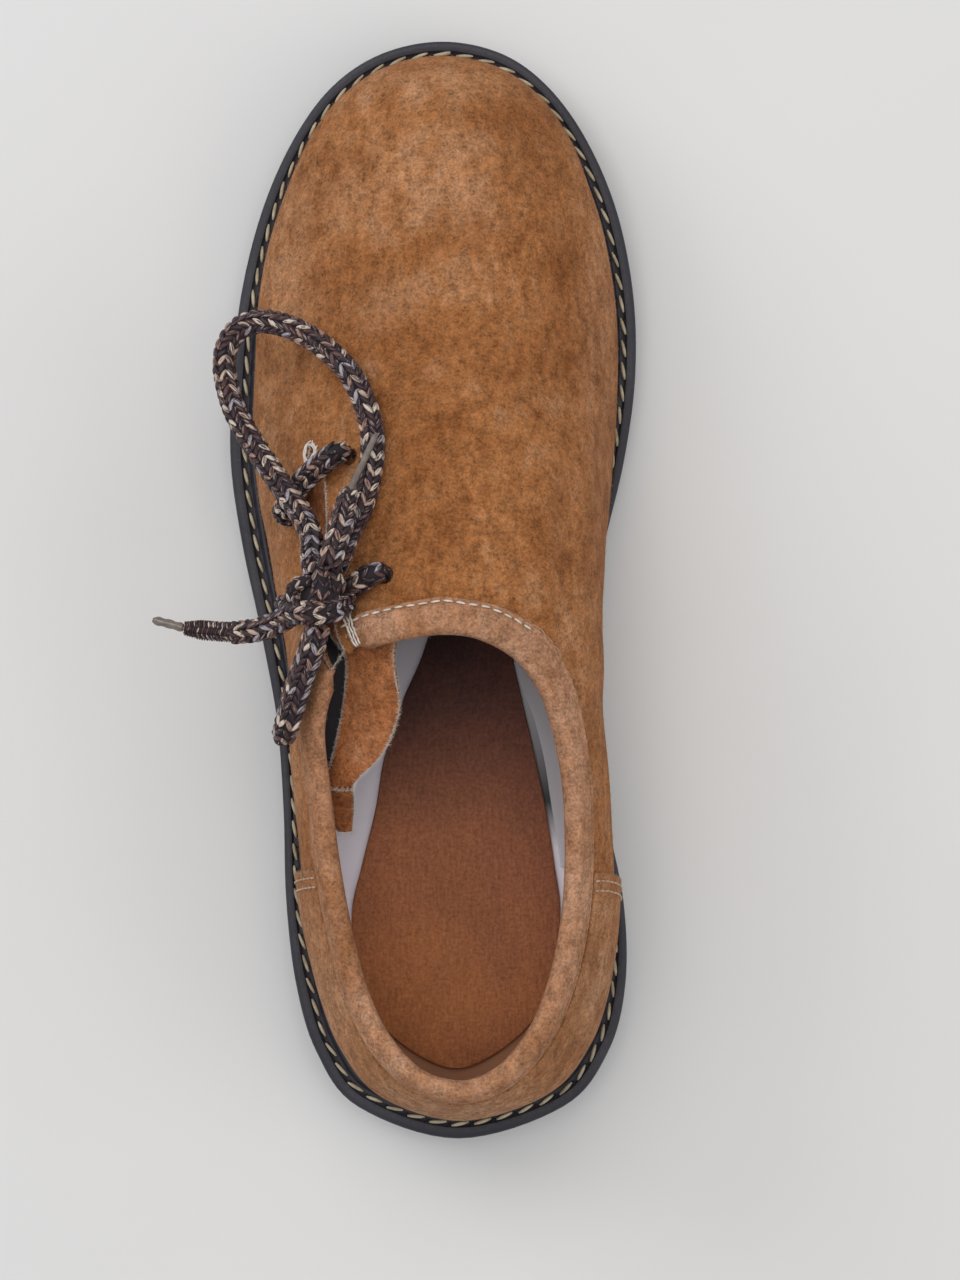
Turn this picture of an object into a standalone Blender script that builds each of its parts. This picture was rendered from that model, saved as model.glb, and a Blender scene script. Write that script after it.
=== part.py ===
"""A left haferl shoe of rough-out suede, built as a shoemaker puts it together.

X runs across the foot (+X is the medial side), Y runs from heel to toe, Z is up.
The origin is on the floor under the middle of the outsole. Lengths are in metres.
"""

import math

import bmesh
import bpy
import numpy as np
from mathutils import Vector
from mathutils.bvhtree import BVHTree

# Driving dimensions of the sole
SHOE_LENGTH = 0.290
BALL_WIDTH = 0.108
WAIST_WIDTH = 0.082
HEEL_WIDTH = 0.090
FOREFOOT_SOLE = 0.0085
HEEL_LIFT = 0.0095
TOE_SPRING = 0.008
OUTSOLE_WAIST = 0.006
SOLE_DRAFT = 0.0014
LUG_DEPTH = 0.0024
LUG_GROOVE = 0.0030

# Driving dimensions of the welt
WELT_MARGIN = 0.0080
WELT_THICKNESS = 0.0040
WELT_BEAD = 0.0008
STITCH_GROOVE = 0.0007

# Driving dimensions of the upper
INSTEP_RISE = 0.0805
SWELL = 0.010
UPPER_WALL = 0.0022
QUARTER_WALL = 0.0014
QUARTER_HEM = 0.0016
BINDING_WALL = 0.0016
BINDING_DEPTH = 0.0072
INNER_LEG = 0.8
QUARTER_DROP = 0.0012
INSOLE_THICKNESS = 0.0030
SOCK_THICKNESS = 0.0016
TONGUE_THICKNESS = 0.0018

# Driving dimensions of the lace
LACE_DIAMETER = 0.0064
LACE_HOLE = 0.0046
AGLET_DIAMETER = 0.0028

# Pieces that touch keep this gap, and the binding a wider one because it bends across the skin
GAP = 0.0003
BINDING_GAP = 0.0007

# The sole's outline, toe to heel. along: 0 at the heel, 1 at the toe.
# medial and lateral: shares of the width that the row follows.
SOLE_ROWS = (
    # along, medial, lateral, width
    (1.000, 0.024, 0.024, BALL_WIDTH),
    (0.989, 0.171, -0.125, BALL_WIDTH),
    (0.959, 0.285, -0.248, BALL_WIDTH),
    (0.910, 0.381, -0.345, BALL_WIDTH),
    (0.845, 0.455, -0.422, BALL_WIDTH),
    (0.769, 0.495, -0.473, BALL_WIDTH),
    (0.693, 0.499, -0.494, BALL_WIDTH),
    (0.617, 0.471, -0.498, BALL_WIDTH),
    (0.541, 0.423, -0.469, BALL_WIDTH),
    (0.466, 0.509, -0.560, WAIST_WIDTH),
    (0.383, 0.499, -0.504, WAIST_WIDTH),
    (0.300, 0.555, -0.480, WAIST_WIDTH),
    (0.217, 0.561, -0.429, HEEL_WIDTH),
    (0.141, 0.567, -0.400, HEEL_WIDTH),
    (0.079, 0.516, -0.340, HEEL_WIDTH),
    (0.029, 0.384, -0.218, HEEL_WIDTH),
    (0.000, 0.076, 0.076, HEEL_WIDTH),
)

# How far the foot of the upper stands in from the sole's edge, as shares of WELT_MARGIN
FOOT_MARGINS = (
    # medial, lateral
    (0.94, 0.94),
    (0.92, 0.92),
    (0.88, 0.90),
    (0.88, 0.86),
    (0.93, 0.88),
    (0.94, 0.94),
    (0.90, 1.03),
    (0.82, 1.06),
    (0.70, 1.03),
    (0.64, 0.94),
    (0.64, 0.82),
    (0.68, 0.76),
    (0.76, 0.80),
    (0.88, 1.00),
    (0.94, 1.04),
    (1.02, 1.08),
    (1.10, 1.10),
)

# The crest of the vamp from the toe back to the throat
CREST = (
    # along, across (of BALL_WIDTH), rise over the sole (of INSTEP_RISE)
    (0.907, 0.024, 0.476),
    (0.900, 0.025, 0.485),
    (0.886, 0.026, 0.503),
    (0.859, 0.030, 0.533),
    (0.814, 0.035, 0.576),
    (0.752, 0.043, 0.643),
    (0.683, 0.048, 0.727),
    (0.610, 0.050, 0.831),
    (0.538, 0.046, 0.935),
    (0.467, 0.033, 1.000),
)

# The topline from the throat round each side to the back of the heel
TOPLINE_MEDIAL = (
    # along, across (of HEEL_WIDTH), rise over the sole (of INSTEP_RISE)
    (0.462, 0.150, 0.962),
    (0.441, 0.262, 0.876),
    (0.402, 0.342, 0.792),
    (0.345, 0.390, 0.726),
    (0.285, 0.405, 0.695),
    (0.222, 0.398, 0.690),
    (0.166, 0.366, 0.715),
    (0.121, 0.314, 0.745),
    (0.088, 0.240, 0.768),
    (0.070, 0.158, 0.782),
    (0.065, 0.070, 0.786),
)
TOPLINE_LATERAL = (
    (0.462, -0.080, 0.960),
    (0.452, -0.185, 0.886),
    (0.428, -0.272, 0.805),
    (0.380, -0.322, 0.730),
    (0.320, -0.306, 0.680),
    (0.260, -0.282, 0.655),
    (0.203, -0.248, 0.668),
    (0.152, -0.205, 0.702),
    (0.108, -0.138, 0.738),
    (0.076, -0.040, 0.772),
    (0.065, 0.070, 0.786),
)

# The ribs of the last, toe to heel: where each stands on the sole's rows, and its fullness.
# rise: handle up the wall (of the rib's height). swell: handle outwards (of SWELL).
# reach: handle out from the top (of BALL_WIDTH). drop: handle down from the top (of the rib's height).
# sweep: how far the top handle turns to the toe (0 straight out, 1 at 45 degrees).
RIBS_MEDIAL = (
    # foot, rise, swell, reach, drop, sweep
    (0.0, 0.46, 0.34, 0.120, 0.00, 0.00),
    (1.0, 0.46, 0.34, 0.130, 0.00, 0.00),
    (2.0, 0.46, 0.34, 0.150, 0.00, 0.00),
    (3.0, 0.47, 0.34, 0.185, 0.00, 0.00),
    (4.0, 0.48, 0.34, 0.215, 0.00, 0.00),
    (5.0, 0.48, 0.36, 0.235, 0.00, 0.00),
    (6.0, 0.48, 0.40, 0.245, 0.00, 0.05),
    (7.0, 0.49, 0.72, 0.262, 0.00, 0.18),
    (8.0, 0.50, 1.45, 0.296, 0.00, 0.42),
    (8.8, 0.50, 1.92, 0.330, 0.00, 0.72),
    (9.3, 0.47, 1.92, 0.300, 0.02, 0.90),
    (9.75, 0.43, 1.72, 0.238, 0.09, 0.80),
    (10.25, 0.37, 1.38, 0.164, 0.18, 0.62),
    (10.85, 0.37, 1.10, 0.125, 0.28, 0.32),
    (11.45, 0.38, 0.85, 0.110, 0.34, 0.12),
    (12.15, 0.39, 0.62, 0.105, 0.36, 0.00),
    (12.95, 0.40, 0.45, 0.095, 0.36, 0.00),
    (13.8, 0.40, 0.36, 0.085, 0.36, 0.00),
    (14.6, 0.40, 0.32, 0.080, 0.36, 0.00),
    (15.3, 0.40, 0.32, 0.075, 0.36, 0.00),
    (16.0, 0.40, 0.32, 0.072, 0.36, 0.00),
)
RIBS_LATERAL = (
    (0.0, 0.46, 0.34, 0.120, 0.00, 0.00),
    (1.0, 0.46, 0.34, 0.130, 0.00, 0.00),
    (2.0, 0.45, 0.34, 0.150, 0.00, 0.00),
    (3.0, 0.44, 0.34, 0.180, 0.00, 0.00),
    (4.0, 0.43, 0.34, 0.205, 0.00, 0.00),
    (5.0, 0.42, 0.36, 0.220, 0.00, 0.00),
    (6.0, 0.43, 0.38, 0.230, 0.00, 0.05),
    (7.0, 0.44, 0.40, 0.240, 0.00, 0.20),
    (8.0, 0.46, 0.44, 0.250, 0.00, 0.45),
    (8.8, 0.46, 0.46, 0.245, 0.00, 0.80),
    (9.15, 0.44, 0.46, 0.220, 0.03, 1.10),
    (9.5, 0.42, 0.44, 0.180, 0.10, 0.95),
    (9.9, 0.40, 0.42, 0.130, 0.20, 0.58),
    (10.4, 0.36, 0.40, 0.085, 0.30, 0.28),
    (11.0, 0.37, 0.40, 0.075, 0.35, 0.10),
    (11.65, 0.38, 0.38, 0.075, 0.36, 0.00),
    (12.4, 0.39, 0.36, 0.078, 0.36, 0.00),
    (13.2, 0.40, 0.34, 0.080, 0.36, 0.00),
    (14.0, 0.40, 0.32, 0.078, 0.36, 0.00),
    (14.9, 0.40, 0.32, 0.074, 0.36, 0.00),
    (16.0, 0.40, 0.32, 0.072, 0.36, 0.00),
)

THROAT_RIB = 9
HEEL_RIB = 20
SIDES = {"medial": 1, "lateral": -1}


def hermite(p0, p1, m0, m1, t):
    """The cubic from p0 to p1 with end tangents m0 and m1."""
    t2, t3 = t * t, t * t * t
    return (
        (2 * t3 - 3 * t2 + 1) * p0
        + (t3 - 2 * t2 + t) * m0
        + (3 * t2 - 2 * t3) * p1
        + (t3 - t2) * m1
    )


def through(rows, t, closed=False):
    """A smooth curve through the rows, at t counted in rows."""
    rows = np.asarray(rows, float)
    count = len(rows)
    last = count if closed else count - 1
    i = int(min(max(math.floor(t), 0), last - 1))

    def row(k):
        if closed:
            return rows[k % count]
        return rows[min(max(k, 0), count - 1)]

    def tangent(k):
        if not closed and k == 0:
            return row(1) - row(0)
        if not closed and k == count - 1:
            return row(k) - row(k - 1)
        return (row(k + 1) - row(k - 1)) / 2

    return hermite(row(i), row(i + 1), tangent(i), tangent(i + 1), t - i)


def ease(x):
    """0 below 0, 1 above 1, smooth between."""
    x = min(max(x, 0.0), 1.0)
    return x * x * (3 - 2 * x)


def y_of(along):
    return (along - 0.5) * SHOE_LENGTH


def along_of(y):
    return y / SHOE_LENGTH + 0.5


# Where the heel's lift ends and where the toe spring begins, as shares of the length
LIFT_FROM, LIFT_TO, SPRING_FROM = 0.24, 0.55, 0.68
BREAST = 0.270


def toe_spring(along):
    return TOE_SPRING * (max(along - SPRING_FROM, 0) / (1 - SPRING_FROM)) ** 2


def heel_lift(along):
    return HEEL_LIFT * (1 - ease((along - LIFT_FROM) / (LIFT_TO - LIFT_FROM)))


def sole_top(along):
    """Height of the outsole's upper face over the floor."""
    return FOREFOOT_SOLE + heel_lift(along) + toe_spring(along)


def sole_bottom(along):
    """Height of the outsole's lower face: flat on the floor at the ball, raised at toe, waist and heel."""
    waist = 1 - ease((along - LIFT_FROM) / (LIFT_TO - LIFT_FROM))
    thickness = FOREFOOT_SOLE + (OUTSOLE_WAIST - FOREFOOT_SOLE) * waist
    return sole_top(along) - thickness


def welt_top(along):
    """Height of the welt's upper face, on which the upper stands."""
    return sole_top(along) + GAP + WELT_THICKNESS


def ring_of(medial, lateral):
    """One closed list of rows: down the medial side, and back up the lateral one."""
    return list(medial) + list(lateral[-2:0:-1])


OUTLINE_RING = ring_of(
    [(m * w, y_of(a)) for a, m, l, w in SOLE_ROWS],
    [(l * w, y_of(a)) for a, m, l, w in SOLE_ROWS],
)
MARGIN_RING = [
    (v * WELT_MARGIN,)
    for v in ring_of([m for m, l in FOOT_MARGINS], [l for m, l in FOOT_MARGINS])
]
SOLE_RING = len(OUTLINE_RING)


def ring_place(side, row):
    """A row number on one side, as a place on the closed ring."""
    return row if side == "medial" else (SOLE_RING - row) % SOLE_RING


def outline(side, row):
    """(point, outward normal) of the sole's edge in plan."""
    t = ring_place(side, row)
    step = 0.01
    here = through(OUTLINE_RING, t, closed=True)
    ahead = through(OUTLINE_RING, (t + step) % SOLE_RING, closed=True)
    behind = through(OUTLINE_RING, (t - step) % SOLE_RING, closed=True)
    run = ahead - behind
    normal = np.array([-run[1], run[0]])
    return here, normal / np.linalg.norm(normal)


def foot_margin(side, row):
    return float(through(MARGIN_RING, ring_place(side, row), closed=True)[0])


def inset_point(side, row, inset):
    """A point in plan that stands in from the sole's edge."""
    point, normal = outline(side, row)
    return point - normal * inset


RIB_RING = ring_of(RIBS_MEDIAL, RIBS_LATERAL)
TOP_RING = ring_of((CREST[-1],) + TOPLINE_MEDIAL, (CREST[-1],) + TOPLINE_LATERAL)


def top_point(side, rib):
    """The rib's upper end: on the crest of the vamp, or on the topline behind the throat."""
    if rib <= THROAT_RIB:
        along, across, rise = through(CREST, rib)
        x = across * BALL_WIDTH
    else:
        t = rib - THROAT_RIB
        if side == "lateral":
            t = len(TOP_RING) - t
        width_rows = [
            (a, x * (BALL_WIDTH if i == 0 else HEEL_WIDTH), z)
            for i, (a, x, z) in enumerate(TOP_RING)
        ]
        along, x, rise = through(width_rows, t, closed=True)
    return np.array([x, y_of(along), sole_top(along) + rise * INSTEP_RISE])


def crest_slope(rib):
    """Rise of the crest for each metre towards the toe. It fades out behind the throat."""
    step = 0.05
    near = min(rib, THROAT_RIB)
    low, high = max(near - step, 0), min(near + step, THROAT_RIB)
    a, b = top_point("medial", low), top_point("medial", high)
    fade = 1 - ease((rib - THROAT_RIB) / 3)
    return fade * (b[2] - a[2]) / (b[1] - a[1])


def rib_curve(side, rib):
    """The four control points of one rib of the last."""
    t = rib if side == "medial" else (2 * HEEL_RIB - rib) % (2 * HEEL_RIB)
    _, rise, swell, reach, drop, sweep = through(RIB_RING, t, closed=True)
    foot = through(RIBS_MEDIAL if side == "medial" else RIBS_LATERAL, rib)[0]
    edge, normal = outline(side, foot)
    base = edge - normal * foot_margin(side, foot)
    start = np.array([base[0], base[1], welt_top(along_of(base[1])) + GAP])
    end = top_point(side, rib)
    out = np.array([normal[0], normal[1], 0.0])
    up = np.array([0.0, 0.0, 1.0])
    height = end[2] - start[2]
    low = start + up * rise * height + out * swell * SWELL
    turned = out + np.array([0.0, sweep, 0.0])
    turned *= reach * BALL_WIDTH / np.linalg.norm(turned)
    high = end + turned + up * (turned[1] * crest_slope(rib) - drop * height)
    return np.array([start, low, high, end])


def on_curve(control, s):
    p0, p1, p2, p3 = control
    r = 1 - s
    return r**3 * p0 + 3 * r * r * s * p1 + 3 * r * s * s * p2 + s**3 * p3


def last_point(side, rib, s):
    """A point of the upper's outer face: s is 0 at the sole and 1 at the top."""
    return on_curve(rib_curve(side, rib), s)


def rib_lengths(side, rib):
    """The rib's length from the sole up to each of its cells."""
    points = np.array([last_point(side, rib, i / RIB_CELLS) for i in range(RIB_CELLS + 1)])
    runs = np.linalg.norm(np.diff(points, axis=0), axis=1)
    return np.concatenate([[0.0], np.cumsum(runs)])


def courses(side, rib):
    """Places on a rib from the sole to the top: a hem, even rows, and the binding's band."""
    lengths = rib_lengths(side, rib)
    band = lengths[-1] - BINDING_DEPTH - QUARTER_DROP
    rows = [0.0] + list(np.linspace(QUARTER_HEM, band, WALL_COURSES))
    rows += [lengths[-1] - BINDING_DEPTH / 2, lengths[-1]]
    return np.interp(rows, lengths, np.linspace(0, 1, len(lengths)))


# Stations round the upper, counted in ribs. The side seams fall on a station of their own.
STATIONS_PER_RIB = 2
WALL_COURSES = 9
RIB_CELLS = 24
SEAM_RIB = {"medial": 14.35, "lateral": 15.1}
RIB_STATIONS = {
    side: sorted({i / STATIONS_PER_RIB for i in range(STATIONS_PER_RIB * HEEL_RIB + 1)} | {SEAM_RIB[side]})
    for side in SIDES
}


class Skin:
    """The outer face of the upper as one open grid, with a normal at each point."""

    def __init__(self):
        self.mesh = bmesh.new()
        self.grid = {}
        for side in SIDES:
            for rib in RIB_STATIONS[side]:
                column = []
                for course, s in enumerate(courses(side, rib)):
                    column.append(self.vertex(side, rib, course, s))
                self.grid[side, rib] = column
        for side in SIDES:
            stations = RIB_STATIONS[side]
            for left, right in zip(stations, stations[1:]):
                self.strip(side, self.grid[side, left], self.grid[side, right])
        self.mesh.normal_update()
        self.tree = BVHTree.FromBMesh(self.mesh)

    def vertex(self, side, rib, course, s):
        """A new point, or the one that the other side has already made there."""
        last = course == WALL_COURSES + 2
        shared = rib in (0, HEEL_RIB) or (last and rib <= THROAT_RIB)
        if side == "lateral" and shared:
            return self.grid["medial", rib][course]
        return self.mesh.verts.new(last_point(side, rib, s))

    def strip(self, side, left, right):
        for course in range(len(left) - 1):
            face = [left[course], left[course + 1], right[course + 1], right[course]]
            if side == "lateral":
                face.reverse()
            self.mesh.faces.new(face)

    def top_ring(self):
        """The topline's points, from the throat round the medial side and back along the lateral."""
        ring = [self.grid["medial", r][-1] for r in RIB_STATIONS["medial"] if r >= THROAT_RIB]
        ring += [
            self.grid["lateral", r][-1]
            for r in reversed(RIB_STATIONS["lateral"])
            if THROAT_RIB < r < HEEL_RIB
        ]
        return ring

    def over(self, x, y):
        """The place on the skin straight above a point in plan, and the normal there."""
        place, normal, _, _ = self.tree.ray_cast(Vector((x, y, 1.0)), Vector((0, 0, -1)))
        return place, normal


def collection_for(name):
    collection = bpy.data.collections.new(name)
    bpy.context.scene.collection.children.link(collection)
    return collection


def finish_for(name, colour, roughness):
    material = bpy.data.materials.new(name)
    material.use_nodes = True
    shader = material.node_tree.nodes["Principled BSDF"]
    shader.inputs["Base Color"].default_value = (*colour, 1.0)
    shader.inputs["Roughness"].default_value = roughness
    shader.inputs["Metallic"].default_value = 0.0
    return material


SUEDE = (0.42, 0.20, 0.09)
SUEDE_EDGE = (0.52, 0.28, 0.16)
RUBBER = (0.045, 0.045, 0.062)
LINING = (0.62, 0.62, 0.60)
SOCK = (0.30, 0.14, 0.06)
LACE = (0.045, 0.025, 0.032)
AGLET = (0.22, 0.21, 0.18)


# How rough each finish is
MATT, SATIN, SMOOTH = 0.95, 0.8, 0.4
SHARP_ANGLE = math.radians(40)


def add_part(name, mesh, colour, roughness):
    """One named object of the shoe, from a bmesh, with its own material."""
    data = bpy.data.meshes.new(name)
    mesh.to_mesh(data)
    mesh.free()
    data.shade_smooth()
    data.set_sharp_from_angle(angle=SHARP_ANGLE)
    data.materials.append(finish_for(name, colour, roughness))
    part = bpy.data.objects.new(name, data)
    PARTS.objects.link(part)
    return part


def add_cutter(name, mesh):
    data = bpy.data.meshes.new(name)
    mesh.to_mesh(data)
    mesh.free()
    cutter = bpy.data.objects.new(name, data)
    cutter.hide_render = True
    cutter.display_type = "WIRE"
    CUTTERS.objects.link(cutter)
    return cutter


def thicken(part, thickness, offset):
    """Give an open surface its wall: offset -1 grows it inwards, +1 outwards."""
    solidify = part.modifiers.new("wall", "SOLIDIFY")
    solidify.thickness = thickness
    solidify.offset = offset


def cut(part, cutter):
    boolean = part.modifiers.new(cutter.name, "BOOLEAN")
    boolean.operation = "DIFFERENCE"
    boolean.object = cutter
    boolean.use_self = True


def closed_grid(rows, caps=True):
    """A solid from rows of section points. Each row is one closed section."""
    mesh = bmesh.new()
    sections = [[mesh.verts.new(p) for p in row] for row in rows]
    pairs = list(zip(sections, sections[1:]))
    if not caps:
        pairs.append((sections[-1], sections[0]))
    for a, b in pairs:
        count = len(a)
        for i in range(count):
            j = (i + 1) % count
            mesh.faces.new([a[i], a[j], b[j], b[i]])
    if caps:
        mesh.faces.new(sections[0][::-1])
        mesh.faces.new(sections[-1])
    bmesh.ops.recalc_face_normals(mesh, faces=mesh.faces)
    return mesh


# The sole's mesh: stations for each row of its outline, and cells across
STATIONS_PER_ROW = 2
PLAN_CELLS = 4
LAST_ROW = len(SOLE_ROWS) - 1
PLAN_ROWS = [i / STATIONS_PER_ROW for i in range(STATIONS_PER_ROW * LAST_ROW + 1)]


def plan_ring(rows):
    """(side, row) all round the sole's edge: down the medial side and back up the lateral one."""
    ring = [("medial", r) for r in rows]
    ring += [("lateral", r) for r in reversed(rows) if r not in (0, LAST_ROW)]
    return ring


def level_ring(rows, inset, height):
    ring = []
    for side, row in plan_ring(rows):
        x, y = inset_point(side, row, inset(side, row))
        ring.append((x, y, height(along_of(y))))
    return ring


def slab(rows, levels):
    """A plate with the sole's plan. Each level has an inset and a height, from below upwards."""
    mesh = bmesh.new()
    rings = [[mesh.verts.new(p) for p in level_ring(rows, *level)] for level in levels]
    count = len(rings[0])
    whole = rows[0] == 0
    for low, high in zip(rings, rings[1:]):
        for i in range(count if whole else count - 1):
            j = (i + 1) % count
            mesh.faces.new([low[i], low[j], high[j], high[i]])
    for ring, (_, height) in ((rings[0], levels[0]), (rings[-1], levels[-1])):
        fill_plan(mesh, rows, ring, height)
    if not whole:
        front = [edge for edge in mesh.edges if edge.is_boundary]
        bmesh.ops.holes_fill(mesh, edges=front)
    bmesh.ops.recalc_face_normals(mesh, faces=mesh.faces)
    return mesh


def fill_plan(mesh, rows, ring, height):
    """Close a level with strips from the medial edge to the lateral one, at their true height."""
    place = {key: vertex for key, vertex in zip(plan_ring(rows), ring)}
    strips = []
    for row in rows:
        start = place["medial", row]
        if row in (0, LAST_ROW):
            strips.append([start])
            continue
        end = place["lateral", row]
        inner = []
        for i in range(1, PLAN_CELLS):
            spot = start.co.lerp(end.co, i / PLAN_CELLS)
            spot.z = height(along_of(spot.y))
            inner.append(mesh.verts.new(spot))
        strips.append([start] + inner + [end])
    for a, b in zip(strips, strips[1:]):
        for i in range(PLAN_CELLS):
            if len(a) == 1:
                mesh.faces.new([a[0], b[i], b[i + 1]])
            elif len(b) == 1:
                mesh.faces.new([a[i], a[i + 1], b[0]])
            else:
                mesh.faces.new([a[i], a[i + 1], b[i + 1], b[i]])


# How closely a row is found from its place along the sole
ROW_CLOSE = 1e-9


def row_at(along):
    """The row of the sole's outline that stands at this share of the length."""
    low, high = 0.0, float(LAST_ROW)
    while high - low > ROW_CLOSE:
        middle = (low + high) / 2
        if along_of(outline("medial", middle)[0][1]) > along:
            low = middle
        else:
            high = middle
    return low


def fixed(value):
    return lambda side, row: value


def outsole_height(share):
    """A level inside the outsole, from its lower face at 0 to its upper face at 1."""
    return lambda along: sole_bottom(along) + share * (sole_top(along) - sole_bottom(along))


def groove_boxes(places, length, side_angle):
    """Cutting boxes that run in from the sole's edges, one on each side at each place."""
    mesh = bmesh.new()
    for along, floor in places:
        row = row_at(along)
        for side, sign in SIDES.items():
            edge = outline(side, row)[0]
            box = bmesh.ops.create_cube(mesh, size=1.0)["verts"]
            for vertex in box:
                x = vertex.co.x * length
                y = vertex.co.y * LUG_GROOVE
                turn = side_angle * sign
                vertex.co.z = floor + (LUG_DEPTH if vertex.co.z > 0 else -LUG_DEPTH)
                vertex.co.x = edge[0] + x * math.cos(turn) - y * math.sin(turn)
                vertex.co.y = edge[1] + x * math.sin(turn) + y * math.cos(turn)
    return mesh


# Lugs: where the grooves between them stand along the sole
FOREFOOT_GROOVES = (0.92, 0.865, 0.81, 0.755, 0.70, 0.645, 0.59)
HEEL_GROOVES = (0.06, 0.115, 0.17, 0.225)
GROOVE_LENGTH = 0.046
HEEL_GROOVE_LENGTH = 0.032
GROOVE_TURN = math.radians(14)

# The side of the outsole and of the heel from below upwards, as shares of the height and of SOLE_DRAFT
OUTSOLE_SIDE = (
    # height, inset
    (0.00, 1.00),
    (0.22, 0.35),
    (0.70, 0.00),
    (1.00, 0.25),
)
HEEL_SIDE = (
    # height, inset
    (0.00, 1.80),
    (0.12, 1.10),
    (1.00, 1.00),
)


def make_outsole():
    levels = [(fixed(inset * SOLE_DRAFT), outsole_height(share)) for share, inset in OUTSOLE_SIDE]
    part = add_part("outsole", slab(PLAN_ROWS, levels), RUBBER, SATIN)
    places = [(along, sole_bottom(along)) for along in FOREFOOT_GROOVES]
    cut(part, add_cutter("forefoot_grooves", groove_boxes(places, GROOVE_LENGTH, GROOVE_TURN)))


def make_heel():
    breast = row_at(BREAST)
    rows = [breast] + [r for r in PLAN_ROWS if r > breast + 0.5 / STATIONS_PER_ROW]

    def height(share):
        return lambda along: share * (sole_bottom(along) - GAP)

    levels = [(fixed(inset * SOLE_DRAFT), height(share)) for share, inset in HEEL_SIDE]
    part = add_part("heel", slab(rows, levels), RUBBER, SATIN)
    places = [(along, 0.0) for along in HEEL_GROOVES]
    cut(part, add_cutter("heel_grooves", groove_boxes(places, HEEL_GROOVE_LENGTH, GROOVE_TURN)))


# The welt's section, from its lower outer corner over the rim, the stitch groove and the bead.
# inset: share of the margin. height: share of WELT_THICKNESS, then the extra in metres.
WELT_SECTION = (
    (0.07, 0.0, 0.0),
    (0.00, 0.35, 0.0),
    (0.00, 0.75, 0.0),
    (0.07, 1.0, 0.0),
    (0.32, 1.0, 0.0),
    (0.38, 1.0, -STITCH_GROOVE),
    (0.58, 1.0, -STITCH_GROOVE),
    (0.64, 1.0, 0.0),
    (0.70, 1.0, WELT_BEAD),
    (0.83, 1.0, WELT_BEAD),
    (0.89, 1.0, 0.0),
)


def make_welt():
    def level(share, part, extra):
        def inset(side, row):
            return share * foot_margin(side, row)

        def height(along):
            return sole_top(along) + GAP + part * WELT_THICKNESS + extra

        return inset, height

    levels = [level(*row) for row in WELT_SECTION]
    for part in (1.0, 0.0):
        inner = level(0.0, part, 0.0)[1]
        levels.append((lambda side, row: foot_margin(side, row) + UPPER_WALL + GAP, inner))
    rings = [level_ring(PLAN_ROWS, *level) for level in levels]
    add_part("welt", closed_grid(rings, caps=False), RUBBER, SATIN)


def insole_inset(side, row):
    return foot_margin(side, row) + UPPER_WALL + 2 * GAP


def insole_top(along):
    return welt_top(along) + INSOLE_THICKNESS


def make_insole():
    levels = (
        (insole_inset, lambda along: sole_top(along) + GAP),
        (insole_inset, insole_top),
    )
    add_part("insole", slab(PLAN_ROWS, levels), LINING, SATIN)


# The sock's edge, toe to heel, as shares of the length and of HEEL_WIDTH
SOCK_ROWS = (
    # along, medial, lateral
    (0.560, 0.120, 0.120),
    (0.535, 0.175, 0.055),
    (0.500, 0.205, 0.030),
    (0.440, 0.235, -0.030),
    (0.400, 0.263, -0.085),
    (0.350, 0.300, -0.138),
    (0.300, 0.333, -0.166),
    (0.250, 0.358, -0.205),
    (0.205, 0.375, -0.235),
    (0.150, 0.350, -0.215),
    (0.100, 0.270, -0.135),
    (0.066, 0.070, 0.070),
)


def make_sock():
    mesh = bmesh.new()
    low, high = [], []
    ring = ring_of([(m, a) for a, m, _ in SOCK_ROWS], [(l, a) for a, _, l in SOCK_ROWS])
    for i in range(STATIONS_PER_ROW * len(ring)):
        across, along = through(ring, i / STATIONS_PER_ROW, closed=True)
        x, y = across * HEEL_WIDTH, y_of(along)
        low.append(mesh.verts.new((x, y, insole_top(along) + GAP)))
        high.append(mesh.verts.new((x, y, insole_top(along) + GAP + SOCK_THICKNESS)))
    count = len(low)
    for i in range(count):
        j = (i + 1) % count
        mesh.faces.new([low[i], low[j], high[j], high[i]])
    for ring in (low, high):
        half = count // 2
        for i in range(half):
            a, b = i, (i + 1)
            c, d = (count - i - 1) % count, (count - i) % count
            corners = [ring[a], ring[b], ring[c], ring[d]] if i else [ring[a], ring[b], ring[c]]
            if b == c:
                corners = [ring[a], ring[b], ring[d]]
            mesh.faces.new(corners)
    bmesh.ops.recalc_face_normals(mesh, faces=mesh.faces)
    add_part("insole_sock", mesh, SOCK, SATIN)


# The lacing slit in plan, as shares of BALL_WIDTH and of the length
SLIT_OUTLINE = (
    # across, along
    (-0.276, 0.627),
    (-0.250, 0.597),
    (-0.242, 0.560),
    (-0.240, 0.520),
    (-0.213, 0.458),
    (-0.170, 0.432),
    (-0.170, 0.405),
    (-0.228, 0.428),
    (-0.258, 0.455),
    (-0.302, 0.530),
    (-0.306, 0.578),
    (-0.290, 0.615),
)

# The slit's cutter stands between these heights, as shares of INSTEP_RISE
SLIT_FROM, SLIT_TO = 0.3, 1.6
SLIT_STATIONS = 2

# The lace holes: side, rib and place on the rib
LACE_HOLES = (
    ("lateral", 7.04, 0.66),
    ("lateral", 8.62, 0.79),
    ("lateral", 7.78, 0.41),
    ("lateral", 9.30, 0.385),
)
HOLE_SIDES = 12
HOLE_DEPTH = 6 * UPPER_WALL


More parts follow.
